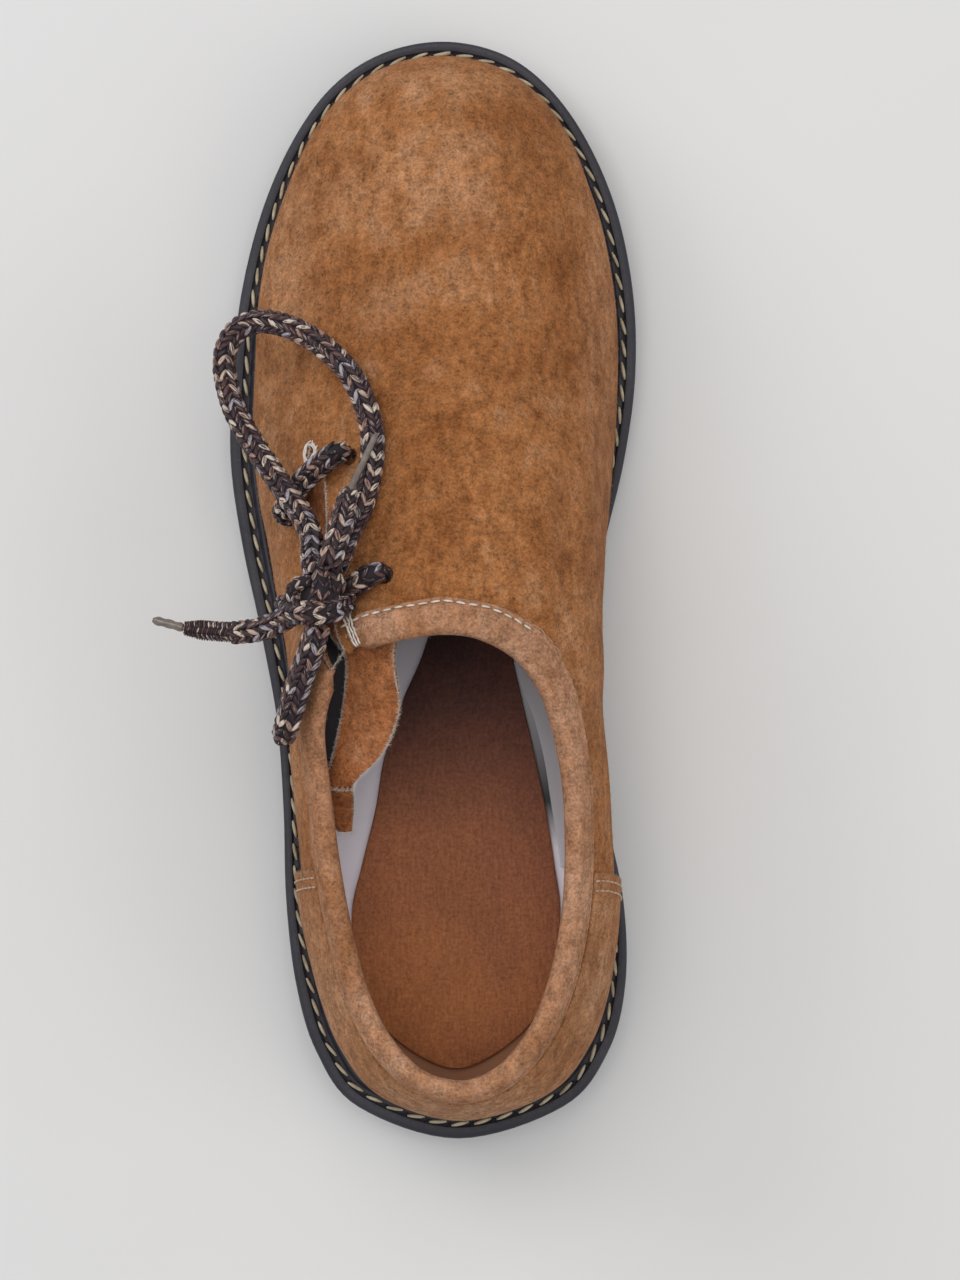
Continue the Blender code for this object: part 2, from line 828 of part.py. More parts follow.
def slit_cutter():
    mesh = bmesh.new()
    count = SLIT_STATIONS * len(SLIT_OUTLINE)
    points = [through(SLIT_OUTLINE, i / SLIT_STATIONS, closed=True) for i in range(count)]
    low, high = [], []
    for across, along in points:
        x, y = across * BALL_WIDTH, y_of(along)
        low.append(mesh.verts.new((x, y, SLIT_FROM * INSTEP_RISE)))
        high.append(mesh.verts.new((x, y, SLIT_TO * INSTEP_RISE)))
    for i in range(count):
        j = (i + 1) % count
        mesh.faces.new([low[i], low[j], high[j], high[i]])
    mesh.faces.new(low)
    mesh.faces.new(high)
    bmesh.ops.recalc_face_normals(mesh, faces=mesh.faces)
    return mesh


def hole_cutter(skin):
    mesh = bmesh.new()
    for side, rib, s in LACE_HOLES:
        spot = Vector(last_point(side, rib, s))
        place, normal, _, _ = skin.tree.find_nearest(spot)
        turn = normal.to_track_quat("Z", "Y").to_matrix().to_4x4()
        turn.translation = place
        bmesh.ops.create_cone(
            mesh,
            cap_ends=True,
            segments=HOLE_SIDES,
            radius1=LACE_HOLE / 2,
            radius2=LACE_HOLE / 2,
            depth=HOLE_DEPTH,
            matrix=turn,
        )
    return mesh


def make_upper(skin):
    part = add_part("upper", skin.mesh.copy(), SUEDE, MATT)
    thicken(part, UPPER_WALL, -1)
    cut(part, add_cutter("slit", slit_cutter()))
    cut(part, add_cutter("lace_holes", hole_cutter(skin)))


def make_quarter(skin):
    """The quarter follows the skin behind the side seams, from its hem up to the binding."""
    columns = [skin.grid["medial", r] for r in RIB_STATIONS["medial"] if r >= SEAM_RIB["medial"]]
    columns += [
        skin.grid["lateral", r]
        for r in reversed(RIB_STATIONS["lateral"])
        if SEAM_RIB["lateral"] <= r < HEEL_RIB
    ]
    mesh = bmesh.new()
    grid = [
        [mesh.verts.new(v.co + v.normal * GAP) for v in column[1 : WALL_COURSES + 1]]
        for column in columns
    ]
    for a, b in zip(grid, grid[1:]):
        for i in range(len(a) - 1):
            mesh.faces.new([a[i], a[i + 1], b[i + 1], b[i]])
    part = add_part("heel_quarter", mesh, SUEDE, MATT)
    thicken(part, QUARTER_WALL, 1)


# The binding leaves a gap on the lateral side, where the slit runs out. It takes
# an extra section between stations at the throat, where the skin bends most.
BINDING_ENDS = (11.0, 12.5)
THROAT_BEND = 12.0
ROLL_CELLS = 4


def binding_places(skin):
    """(place, normal, run) along the topline, from one end of the binding to the other."""
    ring = skin.top_ring()
    keys = [("medial", r) for r in RIB_STATIONS["medial"] if r >= THROAT_RIB]
    keys += [("lateral", r) for r in reversed(RIB_STATIONS["lateral"]) if THROAT_RIB < r < HEEL_RIB]
    count = len(ring)
    start = keys.index(("lateral", BINDING_ENDS[0]))
    end = keys.index(("lateral", BINDING_ENDS[1])) + count
    places = []
    for i in range(start, end + 1):
        here, ahead, behind = (ring[k % count] for k in (i, i + 1, i - 1))
        places.append((here.co.copy(), here.normal.copy(), (ahead.co - behind.co).normalized()))
        if i < end and keys[i % count][1] < THROAT_BEND:
            middle = (here.co + ahead.co) / 2
            normal = (here.normal + ahead.normal).normalized()
            places.append((middle, normal, (ahead.co - here.co).normalized()))
    return places


def make_binding(skin):
    outer, inner = BINDING_GAP + BINDING_WALL, -(UPPER_WALL + BINDING_GAP)
    middle, half = (outer + inner - BINDING_WALL) / 2, (outer - inner + BINDING_WALL) / 2
    rows = []
    for here, normal, run in binding_places(skin):
        up = run.cross(normal).normalized()

        def on_skin(depth, lift):
            place, facing, _, _ = skin.tree.find_nearest(here - up * depth)
            return place + (normal + facing).normalized() * lift

        def above(rise, lift):
            return here + up * rise + normal * lift

        section = [on_skin(BINDING_DEPTH, outer), on_skin(BINDING_DEPTH / 2, outer), here + normal * outer]
        for k in range(1, ROLL_CELLS):
            angle = math.pi * k / ROLL_CELLS
            rise = (BINDING_GAP + BINDING_WALL) * math.sin(angle)
            section.append(above(rise, middle + half * math.cos(angle)))
        section += [
            here + normal * (inner - BINDING_WALL),
            on_skin(BINDING_DEPTH * INNER_LEG, inner - BINDING_WALL),
            on_skin(BINDING_DEPTH * INNER_LEG, inner),
            above(BINDING_GAP, inner),
            above(BINDING_GAP, BINDING_GAP),
            on_skin(BINDING_DEPTH / 2, BINDING_GAP),
            on_skin(BINDING_DEPTH, BINDING_GAP),
        ]
        rows.append(section)
    add_part("collar_binding", closed_grid(rows), SUEDE_EDGE, MATT)


# The tongue under the slit, front to back, as shares of the length and of BALL_WIDTH
TONGUE_UNDER = (
    # along, left, right
    (0.652, -0.343, -0.176),
    (0.617, -0.352, -0.139),
    (0.583, -0.352, -0.120),
    (0.548, -0.350, -0.111),
    (0.514, -0.338, -0.106),
    (0.486, -0.312, -0.102),
    (0.464, -0.278, -0.102),
)
# Its free end in the opening, with the height of each edge over the sole, of INSTEP_RISE
TONGUE_FREE = (
    # along, left, left_rise, right, right_rise
    (0.436, -0.240, 0.690, -0.084, 0.850),
    (0.393, -0.219, 0.655, -0.077, 0.762),
    (0.355, -0.234, 0.610, -0.114, 0.690),
    (0.324, -0.250, 0.560, -0.178, 0.610),
    (0.304, -0.248, 0.520, -0.206, 0.550),
)
TONGUE_CELLS = 5
TONGUE_STATIONS = 2
TONGUE_CROWN = 0.0016


def make_tongue(skin):
    under_leg = UPPER_WALL + BINDING_WALL + 2 * BINDING_GAP
    rows = []
    last = len(TONGUE_UNDER) - 1
    for i, (along, left, right) in enumerate(TONGUE_UNDER):
        depth = UPPER_WALL + 2 * GAP
        depth += (under_leg - depth) * ease(2 * i / last - 1)
        row = []
        for j in range(TONGUE_CELLS + 1):
            across = left + (right - left) * j / TONGUE_CELLS
            place, normal = skin.over(across * BALL_WIDTH, y_of(along))
            row.append(place - normal * depth)
        rows.append(row)
    for along, left, left_rise, right, right_rise in TONGUE_FREE:
        row = []
        for j in range(TONGUE_CELLS + 1):
            t = j / TONGUE_CELLS
            crown = 4 * t * (1 - t) * TONGUE_CROWN
            height = sole_top(along) + (left_rise + (right_rise - left_rise) * t) * INSTEP_RISE
            row.append(Vector(((left + (right - left) * t) * BALL_WIDTH, y_of(along), height + crown)))
        rows.append(row)
    flat = [[c for point in row for c in point] for row in rows]
    mesh = bmesh.new()
    grid = []
    for i in range(TONGUE_STATIONS * (len(flat) - 1) + 1):
        points = through(flat, i / TONGUE_STATIONS).reshape(-1, 3)
        grid.append([mesh.verts.new(point) for point in points])
    for a, b in zip(grid, grid[1:]):
        for j in range(TONGUE_CELLS):
            mesh.faces.new([a[j], b[j], b[j + 1], a[j + 1]])
    part = add_part("tongue", mesh, SUEDE, MATT)
    thicken(part, TONGUE_THICKNESS, -1)


# The lace's routes, front to back and out from the knot, in metres
BAR_FRONT = (
    (-0.0398, 0.0178, 0.0512),
    (-0.0373, 0.0215, 0.0572),
    (-0.0331, 0.0264, 0.0622),
    (-0.0282, 0.0310, 0.0660),
    (-0.0233, 0.0344, 0.0685),
)
BAR_REAR = (
    (-0.0370, -0.0043, 0.0551),
    (-0.0356, -0.0042, 0.0632),
    (-0.0310, -0.0040, 0.0708),
    (-0.0247, -0.0032, 0.0785),
    (-0.0188, 0.0004, 0.0821),
    (-0.0137, 0.0037, 0.0844),
)
LOOP_FRONT = (
    (-0.0231, 0.0055, 0.0848),
    (-0.0208, 0.0124, 0.0812),
    (-0.0172, 0.0205, 0.0775),
    (-0.0154, 0.0275, 0.0748),
    (-0.0146, 0.0345, 0.0727),
    (-0.0152, 0.0420, 0.0702),
    (-0.0190, 0.0520, 0.0670),
    (-0.0250, 0.0595, 0.0630),
    (-0.0335, 0.0657, 0.0582),
    (-0.0427, 0.0685, 0.0545),
    (-0.0498, 0.0665, 0.0520),
    (-0.0533, 0.0592, 0.0510),
    (-0.0513, 0.0480, 0.0530),
    (-0.0470, 0.0395, 0.0560),
    (-0.0420, 0.0320, 0.0624),
    (-0.0368, 0.0245, 0.0682),
    (-0.0322, 0.0180, 0.0728),
    (-0.0298, 0.0126, 0.0770),
    (-0.0295, 0.0071, 0.0816),
)
LOOP_REAR = (
    (-0.0284, -0.0110, 0.0816),
    (-0.0303, -0.0165, 0.0800),
    (-0.0325, -0.0222, 0.0780),
    (-0.0346, -0.0285, 0.0762),
    (-0.0360, -0.0336, 0.0752),
    (-0.0367, -0.0372, 0.0782),
    (-0.0354, -0.0339, 0.0820),
    (-0.0337, -0.0283, 0.0834),
    (-0.0314, -0.0216, 0.0853),
    (-0.0292, -0.0158, 0.0874),
    (-0.0280, -0.0110, 0.0888),
)
END_UPPER = (
    (-0.0247, 0.0058, 0.0914),
    (-0.0236, 0.0100, 0.0902),
    (-0.0221, 0.0155, 0.0876),
    (-0.0204, 0.0232, 0.0836),
)
AGLET_UPPER = ((-0.0200, 0.0241, 0.0832), (-0.0167, 0.0314, 0.0800), (-0.0134, 0.0387, 0.0775))
END_OUTER = (
    (-0.0331, -0.0062, 0.0807),
    (-0.0381, -0.0088, 0.0770),
    (-0.0435, -0.0107, 0.0735),
    (-0.0490, -0.0114, 0.0706),
    (-0.0556, -0.0110, 0.0682),
    (-0.0622, -0.0104, 0.0668),
)
AGLET_OUTER = ((-0.0628, -0.0102, 0.0667), (-0.0668, -0.0091, 0.0661), (-0.0706, -0.0082, 0.0658))
KNOT_PLACE = (-0.0280, -0.0021, 0.0860)
KNOT_FACING = (-0.68, 0.10, 0.72)
KNOT_SIZE = (0.0152, 0.0150, 0.0072)
KNOT_SIDES, KNOT_RINGS = 14, 8
ROUTE_CELLS = 12
WELD = 0.00001


def smooth_route(points, spacing):
    """Points along the smooth curve through a route, about one spacing apart."""
    dense = [through(points, i / ROUTE_CELLS) for i in range(ROUTE_CELLS * (len(points) - 1) + 1)]
    runs = [0.0]
    for a, b in zip(dense, dense[1:]):
        runs.append(runs[-1] + float(np.linalg.norm(b - a)))
    count = max(2, round(runs[-1] / spacing))
    marks = [runs[-1] * i / count for i in range(count + 1)]
    return [[float(np.interp(m, runs, [d[axis] for d in dense])) for axis in range(3)] for m in marks]


def tube(name, route, diameter, colour, roughness):
    """A cord along its route, as a curve with filled ends, turned into a welded mesh."""
    points = smooth_route(route, LACE_DIAMETER)
    curve = bpy.data.curves.new(name, "CURVE")
    curve.dimensions = "3D"
    curve.bevel_depth = diameter / 2
    curve.bevel_resolution = 2
    curve.use_fill_caps = True
    spline = curve.splines.new("POLY")
    spline.points.add(len(points) - 1)
    for spot, point in zip(spline.points, points):
        spot.co = (*point, 1.0)
    guide = bpy.data.objects.new(name + "_route", curve)
    PARTS.objects.link(guide)
    bpy.context.view_layer.update()
    evaluated = guide.evaluated_get(bpy.context.evaluated_depsgraph_get())
    swept = bpy.data.meshes.new_from_object(evaluated)
    mesh = bmesh.new()
    mesh.from_mesh(swept)
    bmesh.ops.remove_doubles(mesh, verts=mesh.verts, dist=WELD)
    bmesh.ops.recalc_face_normals(mesh, faces=mesh.faces)
    bpy.data.objects.remove(guide, do_unlink=True)
    add_part(name, mesh, colour, roughness)


def make_knot():
    mesh = bmesh.new()
    bmesh.ops.create_uvsphere(mesh, u_segments=KNOT_SIDES, v_segments=KNOT_RINGS, radius=0.5)
    turn = Vector(KNOT_FACING).to_track_quat("Z", "Y")
    for vertex in mesh.verts:
        sized = Vector([c * size for c, size in zip(vertex.co, KNOT_SIZE)])
        vertex.co = turn @ sized + Vector(KNOT_PLACE)
    add_part("lace_knot", mesh, LACE, SATIN)


def make_lace():
    tube("lace_bar_front", BAR_FRONT, LACE_DIAMETER, LACE, SATIN)
    tube("lace_bar_rear", BAR_REAR, LACE_DIAMETER, LACE, SATIN)
    tube("lace_loop_front", LOOP_FRONT, LACE_DIAMETER, LACE, SATIN)
    tube("lace_loop_rear", LOOP_REAR, LACE_DIAMETER, LACE, SATIN)
    tube("lace_end_upper", END_UPPER, LACE_DIAMETER, LACE, SATIN)
    tube("lace_end_outer", END_OUTER, LACE_DIAMETER, LACE, SATIN)
    tube("aglet_upper", AGLET_UPPER, AGLET_DIAMETER, AGLET, SMOOTH)
    tube("aglet_outer", AGLET_OUTER, AGLET_DIAMETER, AGLET, SMOOTH)
    make_knot()


for leftover in list(bpy.data.objects):
    bpy.data.objects.remove(leftover, do_unlink=True)

PARTS = collection_for("haferl_shoe")
CUTTERS = collection_for("cutters")


def main():
    skin = Skin()
    make_outsole()
    make_heel()
    make_welt()
    make_insole()
    make_sock()
    make_upper(skin)
    make_quarter(skin)
    make_binding(skin)
    make_tongue(skin)
    make_lace()


main()
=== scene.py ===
"""The finished look of a left haferl shoe: rough-out suede, braided lace, stitched welt and rubber sole.

X runs across the foot (+X is the medial side), Y from heel to toe, Z is up. Lengths are in metres.
"""

import math

import bmesh
import bpy
import numpy as np
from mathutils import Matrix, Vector
from mathutils.bvhtree import BVHTree


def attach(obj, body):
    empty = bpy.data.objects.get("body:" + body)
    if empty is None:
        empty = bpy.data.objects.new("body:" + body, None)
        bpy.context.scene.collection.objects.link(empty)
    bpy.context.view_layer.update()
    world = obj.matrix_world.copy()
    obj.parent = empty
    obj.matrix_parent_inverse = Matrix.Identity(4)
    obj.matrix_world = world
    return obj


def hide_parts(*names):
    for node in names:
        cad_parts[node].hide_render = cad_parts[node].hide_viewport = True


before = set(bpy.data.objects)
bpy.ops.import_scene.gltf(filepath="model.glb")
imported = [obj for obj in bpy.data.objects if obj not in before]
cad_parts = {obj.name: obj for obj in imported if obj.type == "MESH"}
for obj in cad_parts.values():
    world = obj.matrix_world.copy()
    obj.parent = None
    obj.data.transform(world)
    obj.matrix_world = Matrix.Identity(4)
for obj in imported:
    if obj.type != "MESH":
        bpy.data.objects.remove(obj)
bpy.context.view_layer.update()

# Sizes of the sole
SHOE_LENGTH = 0.290
BALL_WIDTH = 0.108
WAIST_WIDTH = 0.082
HEEL_WIDTH = 0.090
FOREFOOT_SOLE = 0.0085
HEEL_LIFT = 0.0095
TOE_SPRING = 0.008
OUTSOLE_WAIST = 0.006
SOLE_DRAFT = 0.0014
LUG_DEPTH = 0.0024
LUG_GROOVE = 0.0030
WELT_MARGIN = 0.0080
WELT_THICKNESS = 0.0040
WELT_BEAD = 0.0008
STITCH_GROOVE = 0.0009

# Sizes of the upper
INSTEP_RISE = 0.0805
SWELL = 0.010
UPPER_WALL = 0.0022
QUARTER_WALL = 0.0014
QUARTER_HEM = 0.0016
QUARTER_DROP = 0.0012
BINDING_WALL = 0.0016
BINDING_DEPTH = 0.0072
INSOLE_THICKNESS = 0.0030
SOCK_THICKNESS = 0.0016
TONGUE_THICKNESS = 0.0018
LINING_WALL = 0.0006
GAP = 0.0003
BINDING_GAP = 0.0007

# Sizes of the lace and its holes
LACE_DIAMETER = 0.0064
LACE_HOLE = 0.0046

# The sole's outline, toe to heel. along: 0 at the heel, 1 at the toe.
SOLE_ROWS = (
    # along, medial, lateral, width
    (1.000, 0.024, 0.024, BALL_WIDTH),
    (0.989, 0.171, -0.125, BALL_WIDTH),
    (0.959, 0.285, -0.248, BALL_WIDTH),
    (0.910, 0.381, -0.345, BALL_WIDTH),
    (0.845, 0.455, -0.422, BALL_WIDTH),
    (0.769, 0.495, -0.473, BALL_WIDTH),
    (0.693, 0.499, -0.494, BALL_WIDTH),
    (0.617, 0.471, -0.498, BALL_WIDTH),
    (0.541, 0.423, -0.469, BALL_WIDTH),
    (0.466, 0.509, -0.560, WAIST_WIDTH),
    (0.383, 0.499, -0.504, WAIST_WIDTH),
    (0.300, 0.555, -0.480, WAIST_WIDTH),
    (0.217, 0.561, -0.429, HEEL_WIDTH),
    (0.141, 0.567, -0.400, HEEL_WIDTH),
    (0.079, 0.516, -0.340, HEEL_WIDTH),
    (0.029, 0.384, -0.218, HEEL_WIDTH),
    (0.000, 0.076, 0.076, HEEL_WIDTH),
)

# How far the foot of the upper stands in from the sole's edge, as shares of WELT_MARGIN
FOOT_MARGINS = (
    # medial, lateral
    (0.94, 0.94),
    (0.92, 0.92),
    (0.88, 0.90),
    (0.88, 0.86),
    (0.93, 0.88),
    (0.94, 0.94),
    (0.90, 1.03),
    (0.82, 1.06),
    (0.70, 1.03),
    (0.64, 0.94),
    (0.64, 0.82),
    (0.68, 0.76),
    (0.76, 0.80),
    (0.88, 1.00),
    (0.94, 1.04),
    (1.02, 1.08),
    (1.10, 1.10),
)

# The crest of the vamp from the toe back to the throat
CREST = (
    # along, across (of BALL_WIDTH), rise over the sole (of INSTEP_RISE)
    (0.907, 0.024, 0.476),
    (0.900, 0.025, 0.485),
    (0.886, 0.026, 0.503),
    (0.859, 0.030, 0.533),
    (0.814, 0.035, 0.576),
    (0.752, 0.043, 0.643),
    (0.683, 0.048, 0.727),
    (0.610, 0.050, 0.831),
    (0.538, 0.046, 0.935),
    (0.467, 0.033, 1.000),
)

# The topline from the throat round each side to the back of the heel
TOPLINE_MEDIAL = (
    # along, across (of HEEL_WIDTH), rise over the sole (of INSTEP_RISE)
    (0.462, 0.150, 0.962),
    (0.441, 0.262, 0.876),
    (0.402, 0.342, 0.792),
    (0.345, 0.390, 0.726),
    (0.285, 0.405, 0.695),
    (0.222, 0.398, 0.690),
    (0.166, 0.366, 0.715),
    (0.121, 0.314, 0.745),
    (0.088, 0.240, 0.768),
    (0.070, 0.158, 0.782),
    (0.065, 0.070, 0.786),
)
TOPLINE_LATERAL = (
    (0.462, -0.080, 0.960),
    (0.452, -0.185, 0.886),
    (0.428, -0.272, 0.805),
    (0.380, -0.322, 0.730),
    (0.320, -0.306, 0.680),
    (0.260, -0.282, 0.655),
    (0.203, -0.248, 0.668),
    (0.152, -0.205, 0.702),
    (0.108, -0.138, 0.738),
    (0.076, -0.040, 0.772),
    (0.065, 0.070, 0.786),
)

# The ribs of the last, toe to heel: where each stands on the sole's rows, and its fullness
RIBS_MEDIAL = (
    # foot, rise, swell, reach, drop, sweep
    (0.0, 0.46, 0.34, 0.120, 0.00, 0.00),
    (1.0, 0.46, 0.34, 0.130, 0.00, 0.00),
    (2.0, 0.46, 0.34, 0.150, 0.00, 0.00),
    (3.0, 0.47, 0.34, 0.185, 0.00, 0.00),
    (4.0, 0.48, 0.34, 0.215, 0.00, 0.00),
    (5.0, 0.48, 0.36, 0.235, 0.00, 0.00),
    (6.0, 0.48, 0.40, 0.245, 0.00, 0.05),
    (7.0, 0.49, 0.72, 0.262, 0.00, 0.18),
    (8.0, 0.50, 1.45, 0.296, 0.00, 0.42),
    (8.8, 0.50, 1.92, 0.330, 0.00, 0.72),
    (9.3, 0.47, 1.92, 0.300, 0.02, 0.90),
    (9.75, 0.43, 1.72, 0.238, 0.09, 0.80),
    (10.25, 0.37, 1.38, 0.164, 0.18, 0.62),
    (10.85, 0.37, 1.10, 0.125, 0.28, 0.32),
    (11.45, 0.38, 0.85, 0.110, 0.34, 0.12),
    (12.15, 0.39, 0.62, 0.105, 0.36, 0.00),
    (12.95, 0.40, 0.45, 0.095, 0.36, 0.00),
    (13.8, 0.40, 0.36, 0.085, 0.36, 0.00),
    (14.6, 0.40, 0.32, 0.080, 0.36, 0.00),
    (15.3, 0.40, 0.32, 0.075, 0.36, 0.00),
    (16.0, 0.40, 0.32, 0.072, 0.36, 0.00),
)
RIBS_LATERAL = (
    (0.0, 0.46, 0.34, 0.120, 0.00, 0.00),
    (1.0, 0.46, 0.34, 0.130, 0.00, 0.00),
    (2.0, 0.45, 0.34, 0.150, 0.00, 0.00),
    (3.0, 0.44, 0.34, 0.180, 0.00, 0.00),
    (4.0, 0.43, 0.34, 0.205, 0.00, 0.00),
    (5.0, 0.42, 0.36, 0.220, 0.00, 0.00),
    (6.0, 0.43, 0.38, 0.230, 0.00, 0.05),
    (7.0, 0.44, 0.40, 0.240, 0.00, 0.20),
    (8.0, 0.46, 0.44, 0.250, 0.00, 0.45),
    (8.8, 0.46, 0.46, 0.245, 0.00, 0.80),
    (9.15, 0.44, 0.46, 0.220, 0.03, 1.10),
    (9.5, 0.42, 0.44, 0.180, 0.10, 0.95),
    (9.9, 0.40, 0.42, 0.130, 0.20, 0.58),
    (10.4, 0.36, 0.40, 0.085, 0.30, 0.28),
    (11.0, 0.37, 0.40, 0.075, 0.35, 0.10),
    (11.65, 0.38, 0.38, 0.075, 0.36, 0.00),
    (12.4, 0.39, 0.36, 0.078, 0.36, 0.00),
    (13.2, 0.40, 0.34, 0.080, 0.36, 0.00),
    (14.0, 0.40, 0.32, 0.078, 0.36, 0.00),
    (14.9, 0.40, 0.32, 0.074, 0.36, 0.00),
    (16.0, 0.40, 0.32, 0.072, 0.36, 0.00),
)
THROAT_RIB = 9
HEEL_RIB = 20
SIDES = {"medial": 1, "lateral": -1}
SEAM_RIB = {"medial": 14.57, "lateral": 15.1}
LIFT_FROM, LIFT_TO, SPRING_FROM = 0.24, 0.55, 0.68
BREAST = 0.270


# Curves

def hermite(p0, p1, m0, m1, t):
    """The cubic from p0 to p1 with end tangents m0 and m1."""
    t2, t3 = t * t, t * t * t
    return (2 * t3 - 3 * t2 + 1) * p0 + (t3 - 2 * t2 + t) * m0 + (3 * t2 - 2 * t3) * p1 + (t3 - t2) * m1


def through(rows, t, closed=False):
    """A smooth curve through the rows, at t counted in rows."""
    rows = np.asarray(rows, float)
    count = len(rows)
    last = count if closed else count - 1
    i = int(min(max(math.floor(t), 0), last - 1))

    def row(k):
        return rows[k % count] if closed else rows[min(max(k, 0), count - 1)]

    def tangent(k):
        if not closed and k in (0, count - 1):
            return row(k + 1) - row(k) if k == 0 else row(k) - row(k - 1)
        return (row(k + 1) - row(k - 1)) / 2

    return hermite(row(i), row(i + 1), tangent(i), tangent(i + 1), t - i)


def ease(x):
    """0 below 0, 1 above 1, smooth between."""
    x = np.clip(x, 0.0, 1.0)
    return x * x * (3 - 2 * x)


def smooth_route(points, spacing):
    """Points along the smooth curve through a route, about one spacing apart."""
    dense = np.array([through(points, i / 12) for i in range(12 * (len(points) - 1) + 1)])
    runs = np.concatenate([[0.0], np.cumsum(np.linalg.norm(np.diff(dense, axis=0), axis=1))])
    marks = np.linspace(0, runs[-1], max(2, round(runs[-1] / spacing)) + 1)
    return np.stack([np.interp(marks, runs, dense[:, axis]) for axis in range(3)], axis=1)


def unit(vectors):
    vectors = np.asarray(vectors, float)
    return vectors / np.maximum(np.linalg.norm(vectors, axis=-1, keepdims=True), 1e-12)


# The sole's levels and plan

def y_of(along):
    return (along - 0.5) * SHOE_LENGTH


def along_of(y):
    return y / SHOE_LENGTH + 0.5


def sole_top(along):
    spring = TOE_SPRING * (np.maximum(along - SPRING_FROM, 0) / (1 - SPRING_FROM)) ** 2
    return FOREFOOT_SOLE + HEEL_LIFT * (1 - ease((along - LIFT_FROM) / (LIFT_TO - LIFT_FROM))) + spring


def sole_bottom(along):
    waist = 1 - ease((along - LIFT_FROM) / (LIFT_TO - LIFT_FROM))
    return sole_top(along) - (FOREFOOT_SOLE + (OUTSOLE_WAIST - FOREFOOT_SOLE) * waist)


def welt_top(along):
    return sole_top(along) + GAP + WELT_THICKNESS


def ring_of(medial, lateral):
    """One closed list of rows: down the medial side, and back up the lateral one."""
    return list(medial) + list(lateral[-2:0:-1])


OUTLINE_RING = ring_of(
    [(m * w, y_of(a)) for a, m, l, w in SOLE_ROWS],
    [(l * w, y_of(a)) for a, m, l, w in SOLE_ROWS],
)
MARGIN_RING = [(v * WELT_MARGIN,) for v in ring_of([m for m, l in FOOT_MARGINS], [l for m, l in FOOT_MARGINS])]
SOLE_RING = len(OUTLINE_RING)
LAST_ROW = len(SOLE_ROWS) - 1


def ring_place(side, row):
    return row if side == "medial" else (SOLE_RING - row) % SOLE_RING


def outline(side, row):
    """(point, outward normal) of the sole's edge in plan."""
    t, step = ring_place(side, row), 0.01
    run = through(OUTLINE_RING, (t + step) % SOLE_RING, True) - through(OUTLINE_RING, (t - step) % SOLE_RING, True)
    return through(OUTLINE_RING, t, True), unit([-run[1], run[0]])


def foot_margin(side, row):
    return float(through(MARGIN_RING, ring_place(side, row), True)[0])


def row_at(along):
    """The row of the sole's outline that stands at this share of the length."""
    rows = np.linspace(0, LAST_ROW, 400)
    return float(np.interp(-along, [-along_of(outline("medial", r)[0][1]) for r in rows], rows))


# The ribs of the last

RIB_RING = ring_of(RIBS_MEDIAL, RIBS_LATERAL)
TOP_RING = [
    (a, x * (BALL_WIDTH if i == 0 else HEEL_WIDTH), z)
    for i, (a, x, z) in enumerate(ring_of((CREST[-1],) + TOPLINE_MEDIAL, (CREST[-1],) + TOPLINE_LATERAL))
]


def top_point(side, rib):
    """The rib's upper end: on the crest of the vamp, or on the topline behind the throat."""
    if rib <= THROAT_RIB:
        along, across, rise = through(CREST, rib)
        x = across * BALL_WIDTH
    else:
        t = rib - THROAT_RIB
        along, x, rise = through(TOP_RING, t if side == "medial" else len(TOP_RING) - t, True)
    return np.array([x, y_of(along), sole_top(along) + rise * INSTEP_RISE])


def crest_slope(rib):
    """Rise of the crest for each metre towards the toe. It fades out behind the throat."""
    near, step = min(rib, THROAT_RIB), 0.05
    a = top_point("medial", max(near - step, 0))
    b = top_point("medial", min(near + step, THROAT_RIB))
    return (1 - ease((rib - THROAT_RIB) / 3)) * (b[2] - a[2]) / (b[1] - a[1])


def rib_curve(side, rib):
    """The four control points of one rib of the last."""
    t = rib if side == "medial" else (2 * HEEL_RIB - rib) % (2 * HEEL_RIB)
    _, rise, swell, reach, drop, sweep = through(RIB_RING, t, True)
    foot = through(RIBS_MEDIAL if side == "medial" else RIBS_LATERAL, rib)[0]
    edge, normal = outline(side, foot)
    base = edge - normal * foot_margin(side, foot)
    start = np.array([base[0], base[1], welt_top(along_of(base[1])) + GAP])
    end = top_point(side, rib)
    out, up = np.array([normal[0], normal[1], 0.0]), np.array([0.0, 0.0, 1.0])
    height = end[2] - start[2]
    low = start + up * rise * height + out * swell * SWELL
    turned = unit(out + np.array([0.0, sweep, 0.0])) * reach * BALL_WIDTH
    high = end + turned + up * (turned[1] * crest_slope(rib) - drop * height)
    return start, low, high, end


def rib_points(side, rib, count):
    """Evenly spaced points up a rib, and the rib's length."""
    p0, p1, p2, p3 = rib_curve(side, rib)
    s = np.linspace(0, 1, 4 * count)[:, None]
    r = 1 - s
    dense = r**3 * p0 + 3 * r * r * s * p1 + 3 * r * s * s * p2 + s**3 * p3
    runs = np.concatenate([[0.0], np.cumsum(np.linalg.norm(np.diff(dense, axis=0), axis=1))])
    marks = np.linspace(0, runs[-1], count)
    return np.stack([np.interp(marks, runs, dense[:, axis]) for axis in range(3)], axis=1), runs[-1]


